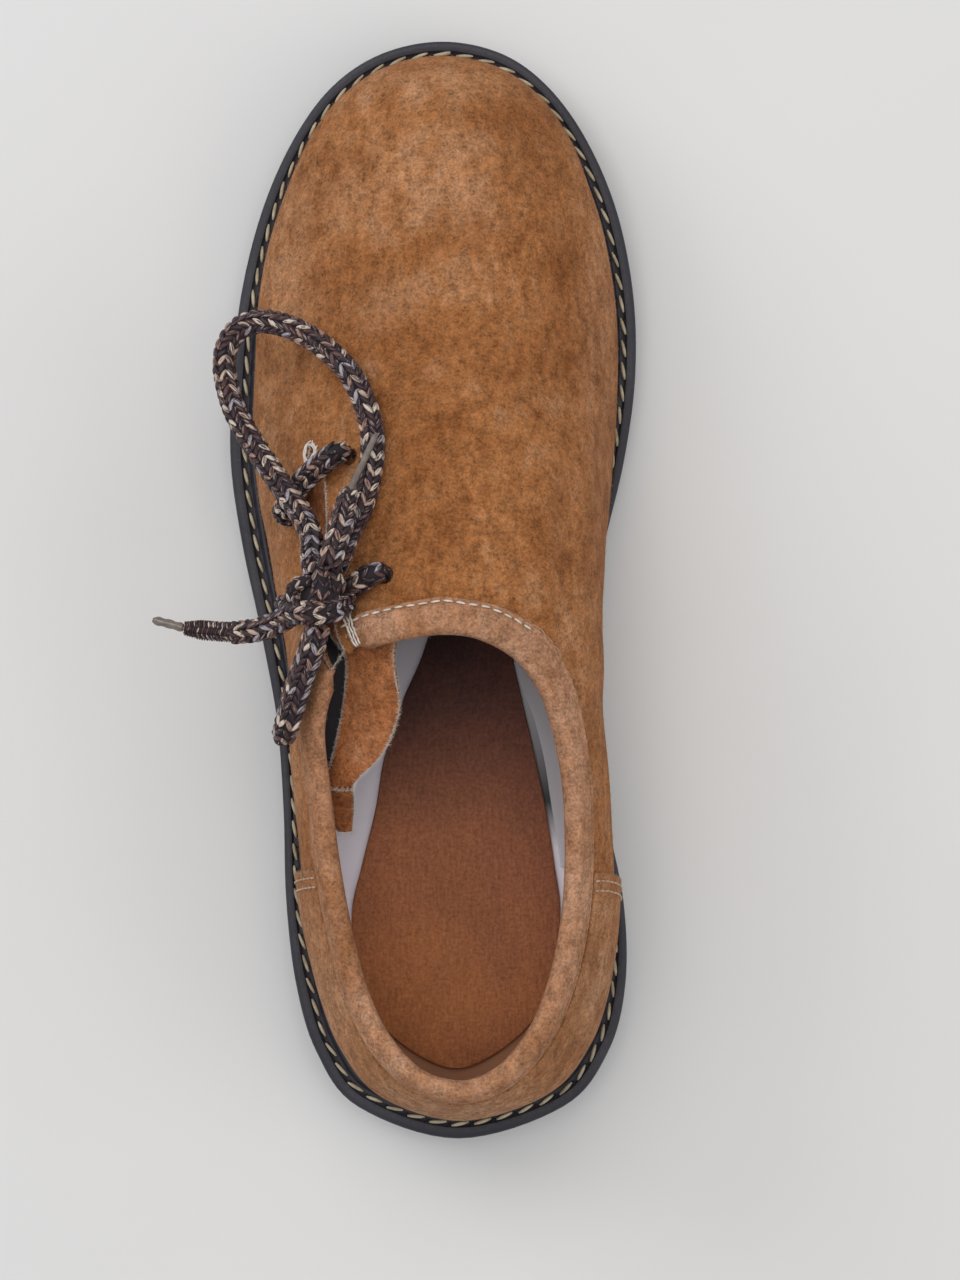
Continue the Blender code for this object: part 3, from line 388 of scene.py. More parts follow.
# Soft creases of the suede: a line in plan, how wide, and how far it stands up (or sinks)
CREASES = (
    # from (x, y), to (x, y), half width, lift
    ((0.0295, 0.0200), (0.0300, -0.0140), 0.0030, 0.0007),
    ((0.0350, 0.0260), (0.0345, -0.0060), 0.0034, -0.0006),
    ((0.0400, 0.0300), (0.0400, 0.0050), 0.0030, 0.0005),
    ((-0.0420, 0.0330), (-0.0385, -0.0040), 0.0026, 0.0007),
    ((-0.0450, 0.0200), (-0.0420, -0.0150), 0.0024, -0.0006),
    ((-0.0375, -0.0390), (-0.0330, -0.0620), 0.0020, 0.0006),
    ((-0.0345, -0.0360), (-0.0300, -0.0560), 0.0016, -0.0005),
    ((-0.0180, 0.0900), (0.0240, 0.0960), 0.0090, 0.0004),
    ((-0.0260, 0.0620), (0.0300, 0.0540), 0.0100, -0.0004),
    ((0.0080, 0.0300), (0.0260, 0.0440), 0.0070, -0.0004),
)
# The vamp's edge along the lacing slit stands up a little
VAMP_LIFT = 0.0011
VAMP_LIFT_REACH = 0.0060

# The lacing slit in plan, as shares of BALL_WIDTH and of the length
SLIT_OUTLINE = (
    # across, along
    (-0.276, 0.627),
    (-0.250, 0.597),
    (-0.242, 0.560),
    (-0.240, 0.520),
    (-0.213, 0.458),
    (-0.170, 0.432),
    (-0.170, 0.405),
    (-0.228, 0.428),
    (-0.258, 0.455),
    (-0.302, 0.530),
    (-0.306, 0.578),
    (-0.290, 0.615),
)
SLIT_POINTS = np.array([through(SLIT_OUTLINE, i / 16, True) for i in range(16 * len(SLIT_OUTLINE))])
SLIT_POINTS = SLIT_POINTS * (BALL_WIDTH, SHOE_LENGTH) - (0, SHOE_LENGTH / 2)
VAMP_EDGE = SLIT_POINTS[: 16 * 4]

# The lace holes: side, rib and share of the rib's curve
LACE_HOLES = (
    ("lateral", 7.04, 0.66),
    ("lateral", 8.62, 0.79),
    ("lateral", 7.78, 0.41),
    ("lateral", 9.30, 0.385),
)


def distance_to_line(points, line):
    """How far points lie from a line of points, in plan."""
    return np.min(np.linalg.norm(points[:, None, :2] - line[None, :, :2], axis=2), axis=1)


def relief(points):
    """How far the suede stands off the last's true shape at each point."""
    lift = np.zeros(len(points))
    for start, end, width, height in CREASES:
        start, end = np.array(start), np.array(end)
        run = end - start
        t = np.clip((points[:, :2] - start) @ run / (run @ run), -0.4, 1.4)
        away = np.linalg.norm(points[:, :2] - start - t[:, None] * run, axis=1)
        fade = 1 - ease(np.abs(t - 0.5) - 0.35)
        lift += height * fade * np.exp(-((away / width) ** 2))
    on_vamp = points[:, 0] > np.interp(points[:, 1], VAMP_EDGE[::-1, 1], VAMP_EDGE[::-1, 0]) - 0.001
    near = 1 - ease(distance_to_line(points, VAMP_EDGE) / VAMP_LIFT_REACH)
    return lift + VAMP_LIFT * near * on_vamp * (points[:, 1] > -0.02)


# How far the suede stands out over its own foot, toe to heel. along, medial, lateral
FOOT_PUSH = (
    (0.020, -0.0026, -0.0026),
    (0.062, -0.0010, -0.0024),
    (0.135, -0.0008, -0.0014),
    (0.208, -0.0006, -0.0006),
    (0.354, 0.0, -0.0008),
    (0.463, 0.0, 0.0),
    (0.500, 0.0002, 0.0006),
    (0.536, 0.0008, 0.0010),
    (0.572, 0.0018, 0.0016),
    (0.645, 0.0020, 0.0016),
    (0.700, 0.0019, 0.0018),
    (0.800, 0.0018, 0.0022),
    (0.864, 0.0016, 0.0020),
    (0.900, 0.0024, 0.0024),
    (0.937, 0.0027, 0.0026),
    (0.980, 0.0021, 0.0021),
)
CROWDED_RIBS = (8.2, 11.2)
PUSH_FULL = 0.008
PUSH_NONE = 0.034


class Skin:
    """The outer face of the upper as rings of places and normals, from the sole up to the crest or topline."""

    def __init__(self, steps, heights):
        """steps: stations for each rib. heights: points up a rib."""
        self.steps = steps
        self.heights = heights
        self.crest = THROAT_RIB * steps
        half = HEEL_RIB * steps
        self.count = 2 * half
        columns = [rib_points("medial", i / steps, heights) for i in range(half + 1)]
        columns += [rib_points("lateral", i / steps, heights) for i in range(half - 1, 0, -1)]
        self.place = np.array([points for points, _ in columns])
        self.length = np.array([length for _, length in columns])
        self.relax(*CROWDED_RIBS)
        self.normal = self.normals()
        self.push_foot()
        lift = relief(self.place.reshape(-1, 3)).reshape(self.count, heights)
        self.place = self.place + self.normal * lift[..., None]
        self.normal = self.normals()
        self.flat = self.place.reshape(-1, 3)
        self.flat_normal = self.normal.reshape(-1, 3)
        self.faces = self.quads()
        self.tree = BVHTree.FromPolygons(self.flat.tolist(), self.faces)

    def relax(self, first, last, rounds=14):
        """Even out the medial ribs between two of them, where they crowd together, apart from their tops."""
        a, b = round(first * self.steps), round(last * self.steps)
        strength = 0.5 * np.sin(np.pi * np.linspace(0, 1, b - a))[:, None, None]
        strength = strength * (1 - np.linspace(0, 1, self.heights) ** 8)[None, :, None]
        for _ in range(rounds):
            middle = (self.place[a - 1:b - 1] + self.place[a + 1:b + 1]) / 2
            self.place[a:b] += (middle - self.place[a:b]) * strength

    def push_foot(self):
        """Swell the lower part of the skin outwards, level with the ground."""
        alongs, medial, lateral = np.array(FOOT_PUSH).T
        for i in range(self.count):
            along = along_of(self.place[i, 0, 1])
            far = np.interp(along, alongs, medial if i <= self.count // 2 else lateral)
            out = unit(self.normal[i, 3] * (1, 1, 0))
            for j in range(self.heights):
                height = self.length[i] * j / (self.heights - 1)
                fade = 1 - ease((height - PUSH_FULL) / (PUSH_NONE - PUSH_FULL))
                self.place[i, j] += out * far * fade

    def normals(self):
        round_it = np.roll(self.place, -1, axis=0) - np.roll(self.place, 1, axis=0)
        normal = unit(np.cross(np.gradient(self.place, axis=1), round_it))
        for i in range(1, self.crest + 1):
            normal[i, -1] = normal[-i, -1] = unit(normal[i, -1] + normal[-i, -1])
        return normal

    def number(self, i, j):
        """A grid point's number. The two sides share the crest's points."""
        i %= self.count
        if j == self.heights - 1 and i >= self.count - self.crest:
            i = self.count - i
        return i * self.heights + j

    def quads(self):
        faces = [
            (self.number(i, j), self.number(i, j + 1), self.number(i + 1, j + 1), self.number(i + 1, j))
            for i in range(self.count)
            for j in range(self.heights - 1)
        ]
        return [tuple(dict.fromkeys(face)) for face in faces]

    def station(self, side, rib):
        """A rib's place on the ring."""
        return rib * self.steps if side == "medial" else (self.count - rib * self.steps) % self.count

    def at(self, station, height, lift=0.0):
        """(place, normal) at a station of the ring and a share of the height, lifted along the normal."""
        i, j = int(math.floor(station)) % self.count, height * (self.heights - 1)
        k = min(max(int(math.floor(j)), 0), self.heights - 2)
        u, v = station - math.floor(station), j - k
        n = (i + 1) % self.count
        weights = ((i, k, (1 - u) * (1 - v)), (n, k, u * (1 - v)), (i, k + 1, (1 - u) * v), (n, k + 1, u * v))
        place = sum(self.place[a, b] * w for a, b, w in weights)
        normal = unit(sum(self.normal[a, b] * w for a, b, w in weights))
        return place + normal * lift, normal

    def length_at(self, station):
        i = int(math.floor(station)) % self.count
        part = station - math.floor(station)
        return (1 - part) * self.length[i] + part * self.length[(i + 1) % self.count]

    def below_top(self, station, depth, lift=0.0):
        """(place, normal) at a depth in metres down from the crest or topline."""
        return self.at(station, 1 - depth / self.length_at(station), lift)

    def facing(self, place, face):
        """The normal at a place on a face, blended from its corners."""
        corners = list(self.faces[face])
        away = np.linalg.norm(self.flat[corners] - np.array(place), axis=1)
        return unit((1 / (away + 1e-5) ** 2) @ self.flat_normal[corners])

    def near(self, point):
        """(place, normal) on the skin nearest to a point."""
        place, _, face, _ = self.tree.find_nearest(Vector(point))
        return np.array(place), self.facing(place, face)

    def over(self, x, y):
        """(place, normal) on the skin straight above a point in plan, or None beside the skin."""
        place, _, face, _ = self.tree.ray_cast(Vector((x, y, 1.0)), Vector((0, 0, -1)))
        return None if face is None else (np.array(place), self.facing(place, face))


SKIN = Skin(14, 72)


# The collar: t counts rows of the topline from the throat, down the medial side and back up the lateral one

LATERAL_ROWS = len(TOP_RING)
BINDING_FROM = THROAT_RIB - 11.20
BINDING_TO = LATERAL_ROWS + THROAT_RIB - 12.02


def topline(t):
    along, x, rise = through(TOP_RING, t % LATERAL_ROWS, True)
    return np.array([x, y_of(along), sole_top(along) + rise * INSTEP_RISE])


def collar_frame(t):
    """(place, normal, direction upwards) on the topline."""
    here, normal = SKIN.near(topline(t))
    run = unit(topline(t + 0.08) - topline(t - 0.08))
    return here, normal, unit(np.cross(run, normal))


def on_collar(t, depth, lift):
    """(place, normal) on the skin at a depth under the topline, lifted off it."""
    here, normal, up = collar_frame(t)
    place, facing = SKIN.near(here - up * depth)
    out = unit(normal + facing)
    return place + out * lift, out


def collar_marks(start, end, for_each=20):
    count = max(2, round((end - start) * for_each))
    return [start + (end - start) * i / count for i in range(count + 1)]


# Making nodes

def node(tree, kind, inputs=None, **settings):
    """A node of a tree. Its inputs are values, or sockets to link."""
    made = tree.nodes.new(kind)
    for key, value in settings.items():
        setattr(made, key, value)
    for key, value in (inputs or {}).items():
        if isinstance(value, bpy.types.NodeSocket):
            tree.links.new(value, made.inputs[key])
        else:
            made.inputs[key].default_value = value
    return made


def maths(tree, operation, a, b=0.0):
    return node(tree, "ShaderNodeMath", {0: a, 1: b}, operation=operation).outputs[0]


def mixed(tree, factor, a, b, blend="MIX"):
    made = node(tree, "ShaderNodeMix", {0: factor, 6: a, 7: b}, data_type="RGBA", blend_type=blend)
    return made.outputs[2]


def tone(colour):
    return (*colour, 1.0)


def noise(tree, place, scale, detail=3.0, roughness=0.5, stretch=(1, 1, 1), distortion=0.0):
    """A noise of that many features for each metre, stretched along the axes."""
    mapped = node(tree, "ShaderNodeMapping", {"Vector": place, "Scale": stretch}).outputs[0]
    inputs = {"Vector": mapped, "Scale": scale, "Detail": detail, "Roughness": roughness, "Distortion": distortion}
    return node(tree, "ShaderNodeTexNoise", inputs).outputs[0]


def spread(tree, value, low, high, to_low=0.0, to_high=1.0):
    """A value's range stretched and clamped."""
    return node(tree, "ShaderNodeMapRange", {0: value, 1: low, 2: high, 3: to_low, 4: to_high}).outputs[0]


def attribute(tree, name, output="Fac"):
    return node(tree, "ShaderNodeAttribute", attribute_name=name).outputs[output]


def bump(tree, height, distance, strength, below=None):
    inputs = {"Height": height, "Distance": distance, "Strength": strength}
    if below is not None:
        inputs["Normal"] = below
    return node(tree, "ShaderNodeBump", inputs).outputs[0]


def new_finish(name):
    """(material, its tree, its shader, object coordinates)"""
    material = bpy.data.materials.new(name)
    material.use_nodes = True
    tree = material.node_tree
    place = node(tree, "ShaderNodeTexCoord").outputs["Object"]
    return material, tree, tree.nodes["Principled BSDF"], place


def connect(tree, shader, **inputs):
    for key, value in inputs.items():
        socket = shader.inputs[key.replace("_", " ")]
        if isinstance(value, bpy.types.NodeSocket):
            tree.links.new(value, socket)
        else:
            socket.default_value = value


# Materials

def suede(name, deep, middle, pale, nap=1.0):
    """Rough-out suede: mottled patches, a short brushed nap and small flecks, with no gloss of its own. Its pale
    patches are partly wear and partly painted sheen.
    """
    material, tree, shader, place = new_finish(name)
    pale_wear_and_sheen, soiled = attribute(tree, "pale_wear_and_sheen"), attribute(tree, "soiled")
    broad = noise(tree, place, 30, 5, 0.62, distortion=0.5)
    blotch = noise(tree, place, 130, 4, 0.62, stretch=(1.2, 0.8, 1))
    strokes = noise(tree, place, 480, 3, 0.65, stretch=(1.0, 0.45, 0.8))
    grain = noise(tree, place, 700, 3, 0.62, stretch=(0.6, 1.0, 0.8))
    flecks = noise(tree, place, 1500, 2, 0.6)
    fine = noise(tree, place, 1050, 2, 0.55, stretch=(0.8, 1.0, 0.9))
    value = maths(tree, "ADD", maths(tree, "MULTIPLY", broad, 0.5), maths(tree, "MULTIPLY", blotch, 0.5))
    colour = mixed(tree, spread(tree, value, 0.36, 0.52), tone(deep), tone(middle))
    colour = mixed(tree, spread(tree, value, 0.53, 0.70), colour, tone(pale))
    colour = mixed(tree, soiled, colour, tone(deep))
    # Pale patches: wear, and painted sheen where the light falls on the toe's dome and the lateral side of the vamp
    patchy = maths(tree, "MULTIPLY", pale_wear_and_sheen, spread(tree, blotch, 0.30, 0.60, 0.22, 1.05))
    colour = mixed(tree, patchy, colour, tone(pale))
    light = spread(tree, strokes, 0.3, 0.7, 0.76, 1.24)
    light = maths(tree, "ADD", light, spread(tree, flecks, 0.3, 0.7, -0.30, 0.30))
    light = maths(tree, "ADD", light, spread(tree, grain, 0.34, 0.66, -0.18, 0.18))
    pits = spread(tree, fine, 0.40, 0.33)
    pits = maths(tree, "MULTIPLY", pits, maths(tree, "ADD", 0.05, maths(tree, "MULTIPLY", pale_wear_and_sheen, 0.42 * nap)))
    light = maths(tree, "SUBTRACT", light, pits)
    light = node(tree, "ShaderNodeCombineColor", {0: light, 1: light, 2: light}).outputs[0]
    colour = mixed(tree, 1.0, colour, light, "MULTIPLY")
    facing = bump(tree, blotch, 0.0014, 0.4)
    facing = bump(tree, grain, 0.0009, 0.9 * nap, facing)
    facing = bump(tree, flecks, 0.0004, 0.8 * nap, facing)
    connect(
        tree, shader, Base_Color=colour, Normal=facing, Roughness=0.93, Specular_IOR_Level=0.12,
        Sheen_Weight=0.05, Sheen_Roughness=0.5, Sheen_Tint=tone((1.0, 0.72, 0.52)),
    )
    return material


def rubber(name, base, dust):
    """Moulded rubber: nearly black, faintly blue, with a fine skin and pale dust in patches."""
    material, tree, shader, place = new_finish(name)
    patches = noise(tree, place, 60, 5, 0.6)
    skin = noise(tree, place, 1400, 3, 0.55)
    colour = mixed(tree, spread(tree, patches, 0.45, 0.75, 0.0, 0.55), tone(base), tone(dust))
    facing = bump(tree, patches, 0.0006, 0.25)
    facing = bump(tree, skin, 0.00012, 0.5, facing)
    rough = spread(tree, skin, 0.3, 0.7, 0.46, 0.62)
    connect(tree, shader, Base_Color=colour, Normal=facing, Roughness=rough, Specular_IOR_Level=0.42)
    return material


# Behind these the lining turns into the brown suede of the heel's inside
HEEL_LINING_FROM = -0.108
HEEL_LINING_TO = -0.114


def lining_cloth(name, colour, gloss):
    """Smooth pale lining with faint wrinkles. gloss is the weight of its coat."""
    material, tree, shader, place = new_finish(name)
    waves = noise(tree, place, 70, 3, 0.5, stretch=(1, 0.5, 1))
    threads = noise(tree, place, 2400, 2, 0.5)
    stain = noise(tree, place, 40, 4, 0.6)
    shade = mixed(tree, spread(tree, stain, 0.4, 0.8, 0.0, 0.35), tone(colour), tone([0.72 * c for c in colour]))
    cross = node(tree, "ShaderNodeSeparateXYZ", {0: place}).outputs
    shade = mixed(tree, spread(tree, cross[1], HEEL_LINING_FROM, HEEL_LINING_TO), shade, tone((0.30, 0.125, 0.055)))
    shadow = maths(tree, "MULTIPLY", spread(tree, cross[2], 0.018, 0.024), spread(tree, cross[0], 0.0, 0.006))
    shadow = maths(tree, "MULTIPLY", shadow, spread(tree, cross[1], -0.068, -0.056, 0.0, (1 - gloss)))
    shade = mixed(tree, shadow, shade, tone((0.030, 0.028, 0.032)))
    facing = bump(tree, waves, 0.0010, 0.5)
    facing = bump(tree, threads, 0.00008, 0.4, facing)
    connect(
        tree, shader, Base_Color=shade, Normal=facing, Roughness=0.62 - 0.35 * gloss,
        Coat_Weight=gloss, Coat_Roughness=0.08,
    )
    return material


def sock_leather(name):
    """The brown sock: a fine streaky weave, warm at the heel and nearly black to the toe, partly through its own
    darker toe and mostly through painted shade deep inside the shoe.
    """
    material, tree, shader, place = new_finish(name)
    cross = node(tree, "ShaderNodeSeparateXYZ", {0: place}).outputs
    warp = noise(tree, place, 1500, 2, 0.6, stretch=(1.0, 0.16, 1.0))
    weft = noise(tree, place, 1300, 2, 0.6, stretch=(0.2, 1.0, 1.0))
    specks = noise(tree, place, 1100, 3, 0.7)
    stain = noise(tree, place, 42, 5, 0.6, stretch=(1.0, 0.7, 1.0))
    # From the heel to the toe the colour darkens to nearly black: partly the sock's own darker toe, mostly painted
    # shade deep inside the shoe
    warm, middle = (0.40, 0.145, 0.050), (0.31, 0.112, 0.050)
    shade, dark = (0.105, 0.043, 0.034), (0.030, 0.015, 0.017)
    colour = mixed(tree, spread(tree, cross[1], -0.112, -0.068), tone(warm), tone(middle))
    colour = mixed(tree, spread(tree, cross[1], -0.066, -0.032), colour, tone(shade))
    colour = mixed(tree, spread(tree, cross[1], -0.034, -0.006), colour, tone(dark))
    colour = mixed(tree, spread(tree, stain, 0.42, 0.66, 0.0, 0.42), colour, tone((0.17, 0.062, 0.036)))
    medial = spread(tree, cross[0], 0.008, 0.036, 0.0, 0.45)
    colour = mixed(tree, medial, colour, tone((0.14, 0.045, 0.032)))
    light = maths(tree, "ADD", spread(tree, warp, 0.3, 0.7, 0.86, 1.12), spread(tree, weft, 0.3, 0.7, -0.06, 0.06))
    light = maths(tree, "ADD", light, spread(tree, specks, 0.35, 0.70, -0.20, 0.28))
    light = node(tree, "ShaderNodeCombineColor", {0: light, 1: light, 2: light}).outputs[0]
    colour = mixed(tree, 1.0, colour, light, "MULTIPLY")
    facing = bump(tree, warp, 0.0002, 0.6)
    facing = bump(tree, specks, 0.0003, 0.5, facing)
    connect(tree, shader, Base_Color=colour, Normal=facing, Roughness=0.8, Specular_IOR_Level=0.25)
    return material


def thread(name, colour, dirt):
    """Twisted sewing thread."""
    material, tree, shader, place = new_finish(name)
    twist = noise(tree, place, 2600, 2, 0.5, stretch=(1, 1, 2))
    age = noise(tree, place, 300, 2, 0.5)
    shade = mixed(tree, spread(tree, age, 0.35, 0.7), tone(colour), tone(dirt))
    facing = bump(tree, twist, 0.00025, 0.8)
    connect(tree, shader, Base_Color=shade, Normal=facing, Roughness=0.72)
    return material


# Yarns of the dark rows of the braid, then those of the pale rows, with where each begins on the strand scale
YARN_TONES = (
    (0.00, (0.024, 0.008, 0.013)),
    (0.18, (0.011, 0.007, 0.010)),
    (0.34, (0.048, 0.018, 0.015)),
    (0.50, (0.46, 0.33, 0.26)),
    (0.60, (0.30, 0.17, 0.13)),
    (0.68, (0.34, 0.30, 0.33)),
    (0.78, (0.60, 0.49, 0.40)),
    (0.86, (0.10, 0.050, 0.045)),
    (0.94, (0.05, 0.022, 0.030)),
)


def lace_yarn(name):
    """Braid yarns in dark aubergine, beige, rose and grey lavender, each streaked along its fibres."""
    material, tree, shader, _ = new_finish(name)
    strand = attribute(tree, "strand")
    local = attribute(tree, "yarn_place", "Vector")
    shift = maths(tree, "MULTIPLY", strand, 0.73)
    shift = node(tree, "ShaderNodeCombineXYZ", {0: shift, 1: shift, 2: shift}).outputs[0]
    fibre = node(tree, "ShaderNodeVectorMath", {0: local, 1: shift}, operation="ADD").outputs[0]
    streaks = noise(tree, fibre, 1050, 2, 0.6, stretch=(0.10, 1.5, 1.5))
    ramp = node(tree, "ShaderNodeValToRGB", {"Fac": strand})
    ramp.color_ramp.interpolation = "CONSTANT"
    while len(ramp.color_ramp.elements) < len(YARN_TONES):
        ramp.color_ramp.elements.new(1.0)
    for stop, (position, colour) in zip(ramp.color_ramp.elements, YARN_TONES):
        stop.position, stop.color = position, tone(colour)
    ribbon = mixed(tree, spread(tree, streaks, 0.50, 0.57, 0.0, 0.92), ramp.outputs[0], tone((0.030, 0.014, 0.018)))
    ribbon = mixed(tree, spread(tree, streaks, 0.41, 0.34, 0.0, 0.40), ribbon, tone((0.60, 0.48, 0.42)))
    facing = bump(tree, streaks, 0.0002, 0.9)
    connect(
        tree, shader, Base_Color=ribbon, Normal=facing, Roughness=0.5, Specular_IOR_Level=0.35,
        Sheen_Weight=0.03, Sheen_Roughness=0.4,
    )
    return material


def plain(name, colour, roughness, grain=900, depth=0.0002, coat=0.0, variation=0.3):
    """A simple finish with a fine grain."""
    material, tree, shader, place = new_finish(name)
    grains = noise(tree, place, grain, 3, 0.55)
    deeper = tone([(1 - variation) * c for c in colour])
    shade = mixed(tree, spread(tree, grains, 0.35, 0.7, 0.0, 0.5), tone(colour), deeper)
    connect(
        tree, shader, Base_Color=shade, Normal=bump(tree, grains, depth, 0.6), Roughness=roughness,
        Coat_Weight=coat, Coat_Roughness=0.15,
    )
    return material


UPPER_SUEDE = suede("upper_suede", (0.200, 0.066, 0.018), (0.325, 0.130, 0.045), (0.425, 0.218, 0.112))
QUARTER_SUEDE = suede("quarter_suede", (0.235, 0.090, 0.032), (0.345, 0.152, 0.062), (0.460, 0.265, 0.155))
BINDING_SUEDE = suede("binding_suede", (0.265, 0.112, 0.048), (0.360, 0.178, 0.096), (0.440, 0.258, 0.165), 0.3)
TONGUE_SUEDE = suede("tongue_suede", (0.200, 0.060, 0.018), (0.335, 0.122, 0.045), (0.440, 0.205, 0.105))
RAW_EDGE = plain("raw_suede_edge", (0.480, 0.320, 0.215), 0.95, 1400, 0.0004)
LINING = lining_cloth("pale_lining", (0.80, 0.76, 0.81), 0.0)
GLOSSY_LINING = lining_cloth("glossy_lining", (0.86, 0.86, 0.90), 0.9)
SOCK = sock_leather("sock_leather")
WELT_RUBBER = rubber("welt_rubber", (0.021, 0.020, 0.028), (0.046, 0.042, 0.052))
SOLE_RUBBER = rubber("outsole_rubber", (0.028, 0.028, 0.036), (0.062, 0.062, 0.070))
WELT_THREAD = thread("welt_thread", (0.52, 0.45, 0.32), (0.30, 0.24, 0.15))
WHITE_THREAD = thread("white_thread", (0.74, 0.67, 0.60), (0.56, 0.46, 0.38))
SEAM_THREAD = thread("seam_thread", (0.50, 0.36, 0.26), (0.40, 0.26, 0.17))
# Grey dashes with the thread's finish that paint the highlight on the welt's inner bead
BEAD_HIGHLIGHT = thread("bead_highlight", (0.24, 0.22, 0.20), (0.13, 0.12, 0.11))
# Near black: the painted shadow in the gap between the tongue and the lateral binding
GAP_SHADOW = plain("tongue_backing", (0.022, 0.020, 0.024), 0.9, 700, 0.0003)
# Near black: the painted shade inside the welt's stitch holes
HOLE_SHADE = plain("stitch_hole_shade", (0.008, 0.008, 0.010), 0.9)
FIBRE = plain("suede_fibre", (0.50, 0.27, 0.135), 0.9)
EDGE_FIBRE = plain("edge_fibre", (0.46, 0.28, 0.17), 0.9)
PALE_FIBRE = plain("pale_fibre", (0.74, 0.66, 0.58), 0.9)
YARN = lace_yarn("lace_yarn")
LACE_CORE = plain("lace_core", (0.014, 0.009, 0.012), 0.9)
AGLET_FILM = plain("aglet_film", (0.165, 0.130, 0.105), 0.35, 420, 0.0005, 0.5, variation=0.75)


# Making pieces

def new_piece(name, data, *finishes):
    made = bpy.data.objects.new(name, data)
    bpy.context.scene.collection.objects.link(made)
    for finish in finishes:
        data.materials.append(finish)
    return made


def shaded(data, angle=40):
    data.shade_smooth()
    data.set_sharp_from_angle(angle=math.radians(angle))
    return data


def mesh_of(name, places, faces):
    data = bpy.data.meshes.new(name)
    data.from_pydata([tuple(map(float, p)) for p in places], [], [tuple(map(int, f)) for f in faces])
    data.update()
    return data


def from_bmesh(name, mesh):
    data = bpy.data.meshes.new(name)
    mesh.to_mesh(data)
    mesh.free()
    return data


def grid_faces(rows, columns, closed_rows=False, closed_columns=False):
    """Faces of a grid of points that is numbered row by row."""
    faces = []
    for i in range(rows if closed_rows else rows - 1):
        for j in range(columns if closed_columns else columns - 1):
            a, b = i * columns, (i + 1) % rows * columns
            n = (j + 1) % columns
            faces.append((a + j, b + j, b + n, a + n))
    return faces


def made_plain(piece):
    """Turn a piece's modifiers into its mesh."""
    bpy.context.view_layer.update()
    evaluated = piece.evaluated_get(bpy.context.evaluated_depsgraph_get())
    data = bpy.data.meshes.new_from_object(evaluated)
    piece.modifiers.clear()
    old = piece.data
    piece.data = data
    bpy.data.meshes.remove(old)
    return piece


def wall(piece, thickness, offset, inner_slot=0):
    solidify = piece.modifiers.new("wall", "SOLIDIFY")
    solidify.thickness = thickness
    solidify.offset = offset
    solidify.use_quality_normals = True
    solidify.material_offset = inner_slot
    return made_plain(piece)


def rounded(piece, width, segments=2, angle=35):
    bevel = piece.modifiers.new("round", "BEVEL")
    bevel.width = width
    bevel.segments = segments
    bevel.angle_limit = math.radians(angle)
    bevel.harden_normals = False
    return made_plain(piece)


def worn_by(data, places, pale_wear_and_sheen, soiled, rim=None):
    """Store how pale (from wear, and from painted sheen) and how soiled each point of a mesh is. rim: extra rubbing
    for each point.
    """
    for name, patches in (("pale_wear_and_sheen", pale_wear_and_sheen), ("soiled", soiled)):
        field = data.attributes.new(name, "FLOAT", "POINT")
        values = np.zeros(len(places))
        if rim is not None and name == "pale_wear_and_sheen":
            values += rim
        for x, y, across, along, strength in patches:
            values += strength * np.exp(-(((places[:, 0] - x) / across) ** 2) - ((places[:, 1] - y) / along) ** 2)
        field.data.foreach_set("value", np.clip(values, 0, 1).astype(np.float32))


def seat(piece, slot=None, *nodes):
    """Fix a finished piece to the shoe, and hide the nodes that it stands for. Its material slot, slot, is not used.
    """
    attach(piece, "root")
    if nodes:
        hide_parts(*nodes)
    return piece


# Patches of wear on the binding
BINDING_RUBBED = (
    # x, y, half width across, half length, strength
    (0.0060, -0.1250, 0.0220, 0.0050, 0.15),
    (-0.0210, -0.0100, 0.0080, 0.0070, 0.45),
    (0.0240, -0.0130, 0.0120, 0.0100, 0.35),
    (0.0380, -0.0600, 0.0050, 0.0500, 0.30),
)
BINDING_SOILED = (
    (0.0060, -0.1290, 0.0200, 0.0016, 0.60),
    (-0.0300, -0.0480, 0.0030, 0.0240, 0.45),
    (0.0310, -0.0260, 0.0060, 0.0100, 0.25),
)

# Patches on the suede: pale ones, which are wear, and on the dome of the toe and the lit lateral side of the vamp are
# painted sheen; and ones soiled to rust
PALE_WEAR_AND_SHEEN = (
    # x, y, half width across, half length, strength
    (-0.0020, 0.1080, 0.0200, 0.0100, 0.42),
    (0.0060, 0.0960, 0.0100, 0.0060, 0.45),
    (-0.0180, 0.1000, 0.0120, 0.0090, 0.32),
    (-0.0380, 0.0820, 0.0075, 0.0260, 0.70),
    (-0.0120, 0.0760, 0.0080, 0.0050, 0.30),
    (0.0440, 0.0700, 0.0050, 0.0450, 0.50),
    (0.0380, -0.0250, 0.0060, 0.0300, 0.25),
    (-0.0020, 0.1320, 0.0260, 0.0050, 0.42),
    (-0.0420, 0.0200, 0.0060, 0.0260, 0.45),
    (-0.0360, -0.0500, 0.0040, 0.0240, 0.55),
    (0.0060, -0.1340, 0.0300, 0.0080, 0.60),
    (-0.0260, -0.1050, 0.0080, 0.0180, 0.45),
    (0.0420, -0.1030, 0.0060, 0.0160, 0.40),
)
